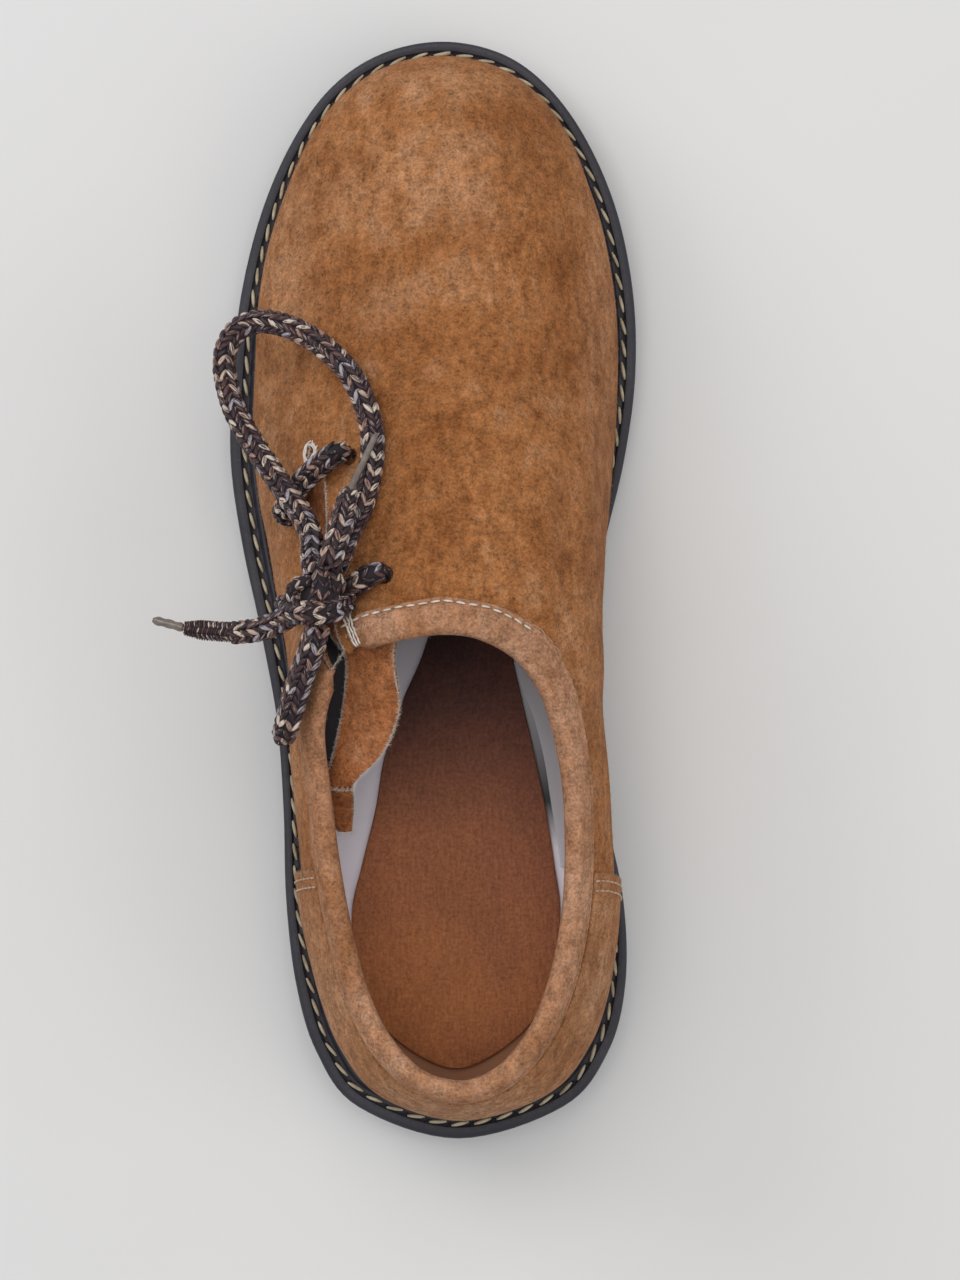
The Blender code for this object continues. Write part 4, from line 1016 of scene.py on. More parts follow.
SOILED = (
    (0.0250, 0.1180, 0.0070, 0.0120, 0.55),
    (0.0130, 0.1210, 0.0080, 0.0060, 0.40),
    (-0.0090, 0.0640, 0.0140, 0.0080, 0.50),
    (0.0330, 0.0800, 0.0060, 0.0200, 0.35),
    (-0.0030, 0.0350, 0.0070, 0.0230, 0.40),
    (0.0180, 0.0560, 0.0120, 0.0120, 0.25),
    (0.0270, 0.0090, 0.0060, 0.0090, 0.25),
    (0.0300, -0.0300, 0.0040, 0.0200, 0.30),
    (0.0350, -0.0800, 0.0035, 0.0180, 0.65),
    (0.0300, -0.1000, 0.0035, 0.0140, 0.50),
    (0.0010, -0.1345, 0.0320, 0.0060, 0.75),
    (-0.0330, -0.0860, 0.0060, 0.0300, 0.35),
    (0.0060, 0.0930, 0.0160, 0.0080, 0.40),
    (-0.0180, 0.0780, 0.0140, 0.0080, 0.45),
)


# The sole

def plan_ring(rows):
    """(side, row) all round the sole's edge: down the medial side and back up the lateral one."""
    return [("medial", r) for r in rows] + [("lateral", r) for r in reversed(rows) if r not in (0, LAST_ROW)]


def level_ring(rows, inset, height):
    """The ring at an inset from the edge. inset and height are functions, or a plain length for inset."""
    ring = []
    for side, row in plan_ring(rows):
        point, normal = outline(side, row)
        x, y = point - normal * (inset(side, row) if callable(inset) else inset)
        ring.append((x, y, height(along_of(y))))
    return ring


def fill_plan(mesh, rows, ring, height, across):
    """Close a level with strips from the medial edge to the lateral one, at their true height."""
    place = dict(zip(plan_ring(rows), ring))
    strips = []
    for row in rows:
        start = place["medial", row]
        if row in (0, LAST_ROW):
            strips.append([start])
            continue
        end = place["lateral", row]
        inner = []
        for i in range(1, across):
            spot = start.co.lerp(end.co, i / across)
            spot.z = height(along_of(spot.y))
            inner.append(mesh.verts.new(spot))
        strips.append([start] + inner + [end])
    for a, b in zip(strips, strips[1:]):
        for i in range(across):
            corners = (a[0], b[i], b[i + 1]) if len(a) == 1 else (a[i], a[i + 1], b[0])
            if len(a) > 1 and len(b) > 1:
                corners = (a[i], a[i + 1], b[i + 1], b[i])
            mesh.faces.new(corners)


def slab(rows, levels, across=6):
    """A plate with the sole's plan. Each level has an inset and a height, from below upwards."""
    mesh = bmesh.new()
    rings = [[mesh.verts.new(p) for p in level_ring(rows, *level)] for level in levels]
    count, whole = len(rings[0]), rows[0] == 0
    for low, high in zip(rings, rings[1:]):
        for i in range(count if whole else count - 1):
            j = (i + 1) % count
            mesh.faces.new([low[i], low[j], high[j], high[i]])
    for ring, (_, height) in ((rings[0], levels[0]), (rings[-1], levels[-1])):
        fill_plan(mesh, rows, ring, height, across)
    if not whole:
        bmesh.ops.holes_fill(mesh, edges=[edge for edge in mesh.edges if edge.is_boundary])
    bmesh.ops.recalc_face_normals(mesh, faces=mesh.faces)
    return mesh


FINE_ROWS = [i / 8 for i in range(8 * LAST_ROW + 1)]
FOREFOOT_GROOVES = (0.92, 0.865, 0.81, 0.755, 0.70, 0.645, 0.59)
HEEL_GROOVES = (0.06, 0.115, 0.17, 0.225)
GROOVE_LENGTH = 0.046
HEEL_GROOVE_LENGTH = 0.0322
GROOVE_TURN = math.radians(14)


def cut_grooves(piece, places, length):
    """Cut the grooves between the lugs, running in from both edges of the sole."""
    mesh = bmesh.new()
    for along, floor in places:
        for side, sign in SIDES.items():
            edge = outline(side, row_at(along))[0]
            turn = GROOVE_TURN * sign
            for vertex in bmesh.ops.create_cube(mesh, size=1.0)["verts"]:
                x, y = vertex.co.x * length, vertex.co.y * LUG_GROOVE
                vertex.co.z = floor + (LUG_DEPTH if vertex.co.z > 0 else -LUG_DEPTH)
                vertex.co.x = edge[0] + x * math.cos(turn) - y * math.sin(turn)
                vertex.co.y = edge[1] + x * math.sin(turn) + y * math.cos(turn)
    cutter = new_piece("groove_cutter", from_bmesh("groove_cutter", mesh))
    boolean = piece.modifiers.new("grooves", "BOOLEAN")
    boolean.operation = "DIFFERENCE"
    boolean.object = cutter
    made_plain(piece)
    bpy.data.objects.remove(cutter, do_unlink=True)


def make_outsole():
    def level(share):
        return lambda along: sole_bottom(along) + share * (sole_top(along) - sole_bottom(along))

    insets = ((1.0, 0.0), (0.62, 0.05), (0.40, 0.16), (0.10, 0.45), (0.0, 0.70), (0.0, 0.90), (0.35, 1.0))
    mesh = slab(FINE_ROWS, [(SOLE_DRAFT * inset, level(share)) for inset, share in insets])
    piece = new_piece("rubber_outsole", from_bmesh("rubber_outsole", mesh), SOLE_RUBBER)
    cut_grooves(piece, [(along, sole_bottom(along)) for along in FOREFOOT_GROOVES], GROOVE_LENGTH)
    shaded(piece.data, 30)
    seat(piece, "outsole_rubber", "outsole")


def make_heel():
    breast = row_at(BREAST)
    rows = [breast] + [r for r in FINE_ROWS if r > breast + 0.05]

    def level(share):
        return lambda along: share * (sole_bottom(along) - GAP)

    insets = ((1.8, 0.0), (1.35, 0.05), (1.1, 0.14), (1.0, 0.5), (1.0, 1.0))
    mesh = slab(rows, [(SOLE_DRAFT * inset, level(share)) for inset, share in insets])
    piece = new_piece("rubber_heel", from_bmesh("rubber_heel", mesh), SOLE_RUBBER)
    cut_grooves(piece, [(along, 0.0) for along in HEEL_GROOVES], HEEL_GROOVE_LENGTH)
    shaded(piece.data, 30)
    seat(piece, "heel_rubber", "heel")


# The welt's section, from its lower outer corner over the rim, the stitch groove and the inner bead
WELT_SECTION = (
    # inset (of the margin), height (of WELT_THICKNESS), extra height in metres
    (0.09, 0.00, 0.0),
    (0.02, 0.10, 0.0),
    (0.00, 0.35, 0.0),
    (0.00, 0.70, 0.0),
    (0.02, 0.90, 0.0),
    (0.07, 1.00, 0.0),
    (0.20, 1.00, 0.00015),
    (0.33, 1.00, 0.0),
    (0.37, 1.00, -0.6 * STITCH_GROOVE),
    (0.42, 1.00, -STITCH_GROOVE),
    (0.58, 1.00, -STITCH_GROOVE),
    (0.62, 1.00, -0.6 * STITCH_GROOVE),
    (0.66, 1.00, 0.0),
    (0.69, 1.00, 0.75 * WELT_BEAD),
    (0.75, 1.00, WELT_BEAD),
    (0.81, 1.00, 0.75 * WELT_BEAD),
    (0.86, 1.00, 0.0),
    (0.92, 1.00, -0.00030),
)
STITCH_INSET = 0.455
WELT_PITCH = 0.0059
WELT_SLANT = math.radians(11)


def make_welt():
    def level(share, part, extra):
        return (
            lambda side, row: share * foot_margin(side, row),
            lambda along: sole_top(along) + GAP + part * WELT_THICKNESS + extra,
        )

    levels = [level(*row) for row in WELT_SECTION]
    for part, extra in ((1.0, -0.0003), (0.0, 0.0)):
        levels.append((lambda side, row: foot_margin(side, row) + UPPER_WALL + GAP, level(0.0, part, extra)[1]))
    rings = [level_ring(FINE_ROWS, *one) for one in levels]
    count = len(rings[0])
    places = [p for ring in rings for p in ring]
    faces = grid_faces(len(rings), count, closed_rows=True, closed_columns=True)
    data = mesh_of("welt_rim", places, [face[::-1] for face in faces])
    piece = new_piece("welt_rim", shaded(data, 45), WELT_RUBBER)
    seat(piece, "welt_rubber", "welt")


def make_insole():
    inset = lambda side, row: foot_margin(side, row) + UPPER_WALL + 2 * GAP
    top = lambda along: welt_top(along) + INSOLE_THICKNESS
    mesh = slab(FINE_ROWS, [(inset, lambda along: sole_top(along) + GAP), (inset, top)])
    piece = new_piece("lined_insole", from_bmesh("lined_insole", mesh), LINING)
    shaded(piece.data)
    seat(piece, "insole_lining", "insole")


# The sock's edge, toe to heel, as shares of the length and of HEEL_WIDTH
SOCK_ROWS = (
    # along, medial, lateral
    (0.560, 0.120, 0.120),
    (0.535, 0.175, 0.055),
    (0.500, 0.205, 0.030),
    (0.440, 0.235, -0.030),
    (0.400, 0.263, -0.085),
    (0.350, 0.300, -0.138),
    (0.300, 0.333, -0.166),
    (0.250, 0.358, -0.205),
    (0.205, 0.375, -0.235),
    (0.150, 0.350, -0.215),
    (0.100, 0.270, -0.135),
    (0.066, 0.070, 0.070),
)


# The sock's rings: share of its width, share of its thickness
SOCK_RINGS = ((1.0, 0.0), (1.0, 0.6), (0.985, 0.95), (0.96, 1.0), (0.7, 1.0), (0.35, 1.0), (0.0, 1.0))


def make_sock():
    """The sock as rings that shrink to its middle line, with a rounded edge."""
    ring = ring_of([(m, a) for a, m, _ in SOCK_ROWS], [(l, a) for a, _, l in SOCK_ROWS])
    count = 10 * len(ring)
    edge = np.array([through(ring, i / 10, True) for i in range(count)]) * (HEEL_WIDTH, SHOE_LENGTH)
    edge[:, 1] -= SHOE_LENGTH / 2
    spine = np.array([(edge[i] + edge[(count - i) % count]) / 2 for i in range(count)])
    places = []
    for share, height in SOCK_RINGS:
        for (x, y), (sx, sy) in zip(edge, spine):
            px, py = sx + (x - sx) * share, sy + (y - sy) * share
            floor = welt_top(along_of(py)) + INSOLE_THICKNESS + GAP
            places.append((px, py, floor + height * SOCK_THICKNESS))
    faces = grid_faces(len(SOCK_RINGS), count, closed_columns=True)
    mesh = bmesh.new()
    mesh.from_mesh(mesh_of("sock_cover", places, faces))
    bottom = [v for v in mesh.verts if v.index < count]
    mesh.faces.new(bottom)
    bmesh.ops.remove_doubles(mesh, verts=mesh.verts, dist=1e-6)
    bmesh.ops.recalc_face_normals(mesh, faces=mesh.faces)
    piece = new_piece("sock_cover", from_bmesh("sock_cover", mesh), SOCK)
    shaded(piece.data, 50)
    seat(piece, "sock_leather", "insole_sock")


# The upper

def hole_place(side, rib, share):
    p0, p1, p2, p3 = rib_curve(side, rib)
    r = 1 - share
    spot = r**3 * p0 + 3 * r * r * share * p1 + 3 * r * share * share * p2 + share**3 * p3
    return SKIN.near(spot)


def inside_outline(points, ring):
    """Which points lie inside a closed outline in plan."""
    x, y = points[:, 0], points[:, 1]
    inside = np.zeros(len(points), bool)
    for (ax, ay), (bx, by) in zip(ring, np.roll(ring, -1, axis=0)):
        crosses = (ay > y) != (by > y)
        at = ax + (y - ay) / (by - ay + 1e-15) * (bx - ax)
        inside ^= crosses & (x < at)
    return inside


def open_skin(places, normals, faces):
    """Take the slit and the lace holes out of the skin, and draw its edge to their outlines."""
    centres = np.array([places[list(face)].mean(axis=0) for face in faces])
    lateral = centres[:, 0] < 0
    gone = inside_outline(centres, SLIT_POINTS) & lateral & (centres[:, 2] > 0.5 * INSTEP_RISE)
    holes = [hole_place(*hole) for hole in LACE_HOLES]
    for spot, _ in holes:
        gone |= np.linalg.norm(centres - spot, axis=1) < LACE_HOLE / 2
    kept = [face for face, out in zip(faces, gone) if not out]
    cut = [face for face, out in zip(faces, gone) if out]
    rim = sorted({k for face in cut for k in face} & {k for face in kept for k in face})
    rng = np.random.default_rng(5)
    for k in rim:
        near = [np.linalg.norm(places[k] - spot) for spot, _ in holes]
        if min(near) < LACE_HOLE:
            spot, normal = holes[int(np.argmin(near))]
            away = places[k] - spot
            away -= normal * (away @ normal)
            places[k] = spot + unit(away) * LACE_HOLE / 2
            continue
        target = SLIT_POINTS[np.argmin(np.linalg.norm(SLIT_POINTS - places[k, :2], axis=1))]
        step = target - places[k, :2] + rng.normal(0, 0.00012, 2)
        places[k, :2] += step
        places[k, 2] -= (normals[k, :2] @ step) / max(normals[k, 2], 0.35)
    return places, kept


def make_upper():
    places, faces = open_skin(SKIN.flat.copy(), SKIN.flat_normal, SKIN.faces)
    data = mesh_of("suede_upper", places, faces)
    heights = np.linspace(0, 1, SKIN.heights)[None, :] * SKIN.length[:, None]
    worn_by(data, places, PALE_WEAR_AND_SHEEN, SOILED, 0.75 * np.exp(-((heights.ravel() / 0.0030) ** 2)))
    loose = bmesh.new()
    loose.from_mesh(data)
    bmesh.ops.delete(loose, geom=[v for v in loose.verts if not v.link_faces], context="VERTS")
    loose.to_mesh(data)
    loose.free()
    piece = new_piece("suede_upper", data, UPPER_SUEDE, LINING)
    source = data.copy()
    wall(piece, INNER_WALL, -1, inner_slot=1)
    shaded(piece.data, 50)
    seat(piece, "upper_suede", "upper")
    return source


def ring_stations(start, end, per_rib=16):
    """Stations from one end to the other, going on round the ring."""
    count = max(2, round((end - start) / SKIN.steps * per_rib))
    return [start + (end - start) * i / count for i in range(count + 1)]


QUARTER_HEIGHTS = 54


def quarter_places(lift):
    """Stations of the quarter, each from its hem up to the binding."""
    start = SKIN.station("medial", SEAM_RIB["medial"])
    end = SKIN.station("lateral", SEAM_RIB["lateral"])
    rows = []
    for station in ring_stations(start, end):
        length = SKIN.length_at(station)
        marks = np.linspace(QUARTER_HEM, length - BINDING_DEPTH - QUARTER_DROP, QUARTER_HEIGHTS)
        rows.append([SKIN.at(station, mark / length, lift)[0] for mark in marks])
    return np.array(rows)


def make_quarter():
    rows = quarter_places(GAP)
    flat = rows.reshape(-1, 3)
    data = mesh_of("suede_quarter", flat, [face[::-1] for face in grid_faces(*rows.shape[:2])])
    worn_by(data, flat, PALE_WEAR_AND_SHEEN, SOILED)
    piece = new_piece("suede_quarter", data, QUARTER_SUEDE, RAW_EDGE)
    source = data.copy()
    wall(piece, QUARTER_WALL, 1)
    rounded(piece, 0.0004)
    shaded(piece.data, 50)
    seat(piece, "quarter_suede", "heel_quarter")
    return source


# The binding's section. Depth is from the topline, lift is over the face that it lies on.
BINDING_OUTER = (
    # depth (of BINDING_DEPTH), lift in metres
    (1.00, 0.00060),
    (0.98, 0.00110),
    (0.94, 0.00150),
    (0.87, 0.00155),
    (0.80, 0.00120),
    (0.72, 0.00165),
    (0.60, 0.00215),
    (0.45, 0.00245),
    (0.30, 0.00255),
    (0.15, 0.00250),
    (0.00, 0.00235),
)
BINDING_INNER = (
    (0.00, 0.00235),
    (0.20, 0.00250),
    (0.42, 0.00240),
    (0.60, 0.00200),
    (0.74, 0.00150),
    (0.80, 0.00075),
)


ROLL_CELLS = 8
ROLL_RISE = 0.0025
BINDING_SHRINK = 0.0004
# The wall under the binding, and its thin inner leg as a share of BINDING_INNER
INNER_WALL = 0.0012
INNER_LEG = 0.45
# How much the binding flattens towards its two ends, and over how many rows of the topline
END_FLAT = 0.45
END_ROWS = 0.40


def binding_section(t):
    """One closed section of the rolled binding."""
    here, normal, up = collar_frame(t)
    inner_face = -(INNER_WALL + GAP)

    def on_skin(depth, lift):
        place, facing = SKIN.near(here - up * depth * BINDING_DEPTH)
        return place + unit(normal + facing) * lift

    section = [on_skin(depth, BINDING_GAP + lift - BINDING_SHRINK) for depth, lift in BINDING_OUTER]
    outer = BINDING_GAP + BINDING_OUTER[-1][1] - BINDING_SHRINK
    inner = inner_face - INNER_LEG * BINDING_INNER[0][1]
    middle, half = (outer + inner) / 2, (outer - inner) / 2
    for k in range(1, ROLL_CELLS):
        angle = math.pi * k / ROLL_CELLS
        section.append(here + up * ROLL_RISE * math.sin(angle) + normal * (middle + half * math.cos(angle)))
    section += [on_skin(depth, inner_face - INNER_LEG * lift) for depth, lift in BINDING_INNER]
    section += [on_skin(0.80, inner_face + 0.0002), here + up * GAP + normal * inner_face]
    section += [here + up * GAP + normal * BINDING_GAP, on_skin(0.5, GAP), on_skin(1.0, GAP)]
    return section


def closed_sweep(name, sections):
    """A solid mesh through closed sections, with its two ends filled."""
    rows, columns = sections.shape[:2]
    mesh = bmesh.new()
    mesh.from_mesh(mesh_of(name, sections.reshape(-1, 3), grid_faces(rows, columns, closed_columns=True)))
    mesh.verts.ensure_lookup_table()
    for first in (0, (rows - 1) * columns):
        mesh.faces.new([mesh.verts[first + j] for j in range(columns)])
    bmesh.ops.recalc_face_normals(mesh, faces=mesh.faces)
    return from_bmesh(name, mesh)


def make_binding():
    marks = collar_marks(BINDING_FROM, BINDING_TO)
    sections = np.array([binding_section(t) for t in marks])
    for k, t in enumerate(marks):
        flat = END_FLAT * (1 - ease(min(t - BINDING_FROM, BINDING_TO - t) / END_ROWS))
        sections[k] += (sections[k].mean(axis=0) - sections[k]) * flat
    piece = new_piece("rolled_binding", closed_sweep("rolled_binding", sections), BINDING_SUEDE)
    places = np.array([v.co for v in piece.data.vertices])
    worn_by(piece.data, places, BINDING_RUBBED, BINDING_SOILED)
    shaded(piece.data, 60)
    seat(piece, "binding_suede", "collar_binding")
    return piece.data.copy()


# The bare glossy part of the lining on the medial side, front to back: its middle in plan
GLOSSY_LINE = (
    (0.0232, -0.0190),
    (0.0250, -0.0250),
    (0.0284, -0.0335),
    (0.0312, -0.0445),
    (0.0330, -0.0563),
    (0.0342, -0.0670),
    (0.0345, -0.0730),
)
GLOSSY_SECTION = (
    # across, up
    (-0.0012, 0.0006),
    (0.0002, 0.0030),
    (0.0016, 0.0062),
    (0.0034, 0.0104),
    (0.0052, 0.0150),
)


def make_glossy_lining():
    rows = []
    last = 6 * (len(GLOSSY_LINE) - 1)
    for i in range(last + 1):
        x, y = through(GLOSSY_LINE, i / 6)
        floor = welt_top(along_of(y)) + INSOLE_THICKNESS
        size = 0.25 + 0.75 * ease((last - i) / 14)
        rows.append([(x + size * across, y, floor + size * up) for across, up in GLOSSY_SECTION])
    rows = np.array(rows)
    piece = new_piece("glossy_lining", mesh_of("glossy_lining", rows.reshape(-1, 3), grid_faces(*rows.shape[:2])))
    piece.data.materials.append(GLOSSY_LINING)
    wall(piece, LINING_WALL, 1)
    shaded(piece.data, 60)
    seat(piece, "insole_lining")


# The tongue under the slit, front to back, as shares of the length and of BALL_WIDTH
TONGUE_UNDER = (
    # along, left, right
    (0.652, -0.343, -0.176),
    (0.617, -0.352, -0.139),
    (0.583, -0.352, -0.120),
    (0.548, -0.350, -0.111),
    (0.514, -0.338, -0.106),
    (0.486, -0.312, -0.102),
    (0.464, -0.278, -0.102),
)
# Its free end in the opening, with the height of each edge over the sole, of INSTEP_RISE
TONGUE_FREE = (
    # along, left, left_rise, right, right_rise
    (0.436, -0.196, 0.740, -0.084, 0.850),
    (0.393, -0.206, 0.670, -0.072, 0.762),
    (0.355, -0.228, 0.620, -0.112, 0.690),
    (0.330, -0.249, 0.580, -0.176, 0.635),
    (0.316, -0.259, 0.548, -0.181, 0.560),
    (0.301, -0.256, 0.490, -0.183, 0.475),
    (0.284, -0.222, 0.430, -0.188, 0.425),
)
# The row of the tongue's fine mesh where its frayed end turns down, and the dark sheet beside it that paints the
# shadow in the gap
TONGUE_FOLD = 8 * 10 + 3
SHADOW_SHEET_REACH = (-0.0100, 0.0035)
SHADOW_SHEET_DROP = 0.0045
SHADOW_SHEET_EDGE = -0.0272
TONGUE_CELLS = 16
TONGUE_CROWN = 0.0016


def tongue_rows():
    under_leg = UPPER_WALL + BINDING_WALL + 2 * BINDING_GAP
    rows = []
    last = len(TONGUE_UNDER) - 1
    for i, (along, left, right) in enumerate(TONGUE_UNDER):
        depth = UPPER_WALL + 2 * GAP
        depth += (under_leg - depth) * ease(2 * i / last - 1)
        row = []
        for j in range(TONGUE_CELLS + 1):
            across = left + (right - left) * j / TONGUE_CELLS
            place, normal = SKIN.over(across * BALL_WIDTH, y_of(along))
            row.append(place - normal * depth)
        rows.append(row)
    for along, left, left_rise, right, right_rise in TONGUE_FREE:
        row = []
        for j in range(TONGUE_CELLS + 1):
            t = j / TONGUE_CELLS
            height = sole_top(along) + (left_rise + (right_rise - left_rise) * t) * INSTEP_RISE
            x = (left + (right - left) * t) * BALL_WIDTH
            row.append(np.array([x, y_of(along), height + 4 * t * (1 - t) * TONGUE_CROWN]))
        rows.append(row)
    flat = [np.concatenate(row) for row in rows]
    fine = [through(flat, i / 8).reshape(-1, 3) for i in range(8 * (len(flat) - 1) + 1)]
    return np.array(fine)


def make_gap_shadow_sheet(rows):
    """A dark sheet that paints the shadow in the gap between the tongue and the lateral binding."""
    edge = rows[8 * (len(TONGUE_UNDER) - 1): TONGUE_FOLD, 0]
    reach = np.linspace(*SHADOW_SHEET_REACH, 5)
    strip = edge[:, None, :] + np.array([(x, 0.0, -SHADOW_SHEET_DROP) for x in reach])[None]
    strip[..., 0] = np.maximum(strip[..., 0], SHADOW_SHEET_EDGE)
    data = mesh_of("tongue_backing", strip.reshape(-1, 3), grid_faces(*strip.shape[:2]))
    piece = new_piece("tongue_backing", data, GAP_SHADOW)
    wall(piece, LINING_WALL, -1)
    shaded(piece.data, 50)
    seat(piece, "tongue_suede")


def make_tongue():
    rows = tongue_rows()
    data = mesh_of("suede_tongue", rows.reshape(-1, 3), grid_faces(*rows.shape[:2]))
    worn_by(data, rows.reshape(-1, 3), (), ())
    piece = new_piece("suede_tongue", data, TONGUE_SUEDE)
    wall(piece, TONGUE_THICKNESS, -1)
    rounded(piece, 0.0004)
    shaded(piece.data, 50)
    seat(piece, "tongue_suede", "tongue")
    make_gap_shadow_sheet(rows)
    return rows, piece.data.copy()


# Geometry trees

def new_tree(name, sockets):
    """(tree, its input sockets by name, a function that ends it). The first socket is the line or surface."""
    tree = bpy.data.node_groups.new(name, "GeometryNodeTree")
    for label, kind in sockets:
        tree.interface.new_socket(name=label, in_out="INPUT", socket_type=kind)
    tree.interface.new_socket(name="Geometry", in_out="OUTPUT", socket_type="NodeSocketGeometry")
    start = tree.nodes.new("NodeGroupInput").outputs

    def end(instances):
        whole = node(tree, "GeometryNodeRealizeInstances", {"Geometry": instances}).outputs[0]
        dressed = node(tree, "GeometryNodeSetMaterial", {"Geometry": whole, "Material": start["Finish"]}).outputs[0]
        node(tree, "NodeGroupOutput", {0: dressed})
        return tree

    return tree, start, end


def turned(tree, facing, up):
    """A rotation with X along facing and Z as near to up as it can be."""
    first = node(tree, "FunctionNodeAlignRotationToVector", {"Vector": facing}, axis="X").outputs[0]
    return node(
        tree, "FunctionNodeAlignRotationToVector", {"Rotation": first, "Vector": up}, axis="Z", pivot_axis="X"
    ).outputs[0]


def random_vector(tree, size, seed):
    low = node(tree, "ShaderNodeCombineXYZ", {0: maths(tree, "MULTIPLY", size, -1.0),
                                              1: maths(tree, "MULTIPLY", size, -1.0),
                                              2: maths(tree, "MULTIPLY", size, -1.0)}).outputs[0]
    high = node(tree, "ShaderNodeCombineXYZ", {0: size, 1: size, 2: size}).outputs[0]
    return node(
        tree, "FunctionNodeRandomValue", {0: low, 1: high, "Seed": seed}, data_type="FLOAT_VECTOR"
    ).outputs[0]


def named(tree, name, kind="FLOAT_VECTOR"):
    return node(tree, "GeometryNodeInputNamedAttribute", {"Name": name}, data_type=kind).outputs[0]


def added(tree, a, b):
    return node(tree, "ShaderNodeVectorMath", {0: a, 1: b}, operation="ADD").outputs[0]


def stitch_tree():
    """Copies of a part set along a line at a pitch, each turned to the line's own facing and up."""
    tree, start, end = new_tree("parts_along_a_line", (
        ("Line", "NodeSocketGeometry"), ("Pitch", "NodeSocketFloat"), ("Part", "NodeSocketObject"),
        ("Scatter", "NodeSocketFloat"), ("Shortest", "NodeSocketFloat"), ("Seed", "NodeSocketInt"),
        ("Finish", "NodeSocketMaterial"),
    ))
    curve = node(tree, "GeometryNodeMeshToCurve", {"Mesh": start["Line"]}).outputs[0]
    points = node(tree, "GeometryNodeCurveToPoints", {"Curve": curve, "Length": start["Pitch"]}, mode="LENGTH")
    facing = added(tree, named(tree, "facing"), random_vector(tree, start["Scatter"], start["Seed"]))
    size = node(
        tree, "FunctionNodeRandomValue", {2: start["Shortest"], 3: 1.0, "Seed": start["Seed"]}, data_type="FLOAT"
    ).outputs[1]
    part = node(tree, "GeometryNodeObjectInfo", {"Object": start["Part"]}).outputs["Geometry"]
    instances = node(tree, "GeometryNodeInstanceOnPoints", {
        "Points": points.outputs[0], "Instance": part, "Rotation": turned(tree, facing, named(tree, "up")),
        "Scale": size,
    }).outputs[0]
    return end(instances)


def nap_tree():
    """Short fibres all over a surface, brushed one way and ruffled."""
    tree, start, end = new_tree("fibres_on_a_surface", (
        ("Surface", "NodeSocketGeometry"), ("Density", "NodeSocketFloat"), ("Fibre", "NodeSocketObject"),
        ("Brush", "NodeSocketVector"), ("Ruffle", "NodeSocketFloat"), ("Seed", "NodeSocketInt"),
        ("Finish", "NodeSocketMaterial"),
    ))
    points = node(
        tree, "GeometryNodeDistributePointsOnFaces",
        {"Mesh": start["Surface"], "Density": start["Density"], "Seed": start["Seed"]},
    )
    leaning = added(tree, points.outputs["Normal"], start["Brush"])
    facing = added(tree, leaning, random_vector(tree, start["Ruffle"], start["Seed"]))
    size = node(
        tree, "FunctionNodeRandomValue", {2: 0.45, 3: 1.0, "Seed": start["Seed"]}, data_type="FLOAT"
    ).outputs[1]
    fibre = node(tree, "GeometryNodeObjectInfo", {"Object": start["Fibre"]}).outputs["Geometry"]
    instances = node(tree, "GeometryNodeInstanceOnPoints", {
        "Points": points.outputs[0], "Instance": fibre,
        "Rotation": turned(tree, facing, points.outputs["Normal"]), "Scale": size,
    }).outputs[0]
    return end(instances)


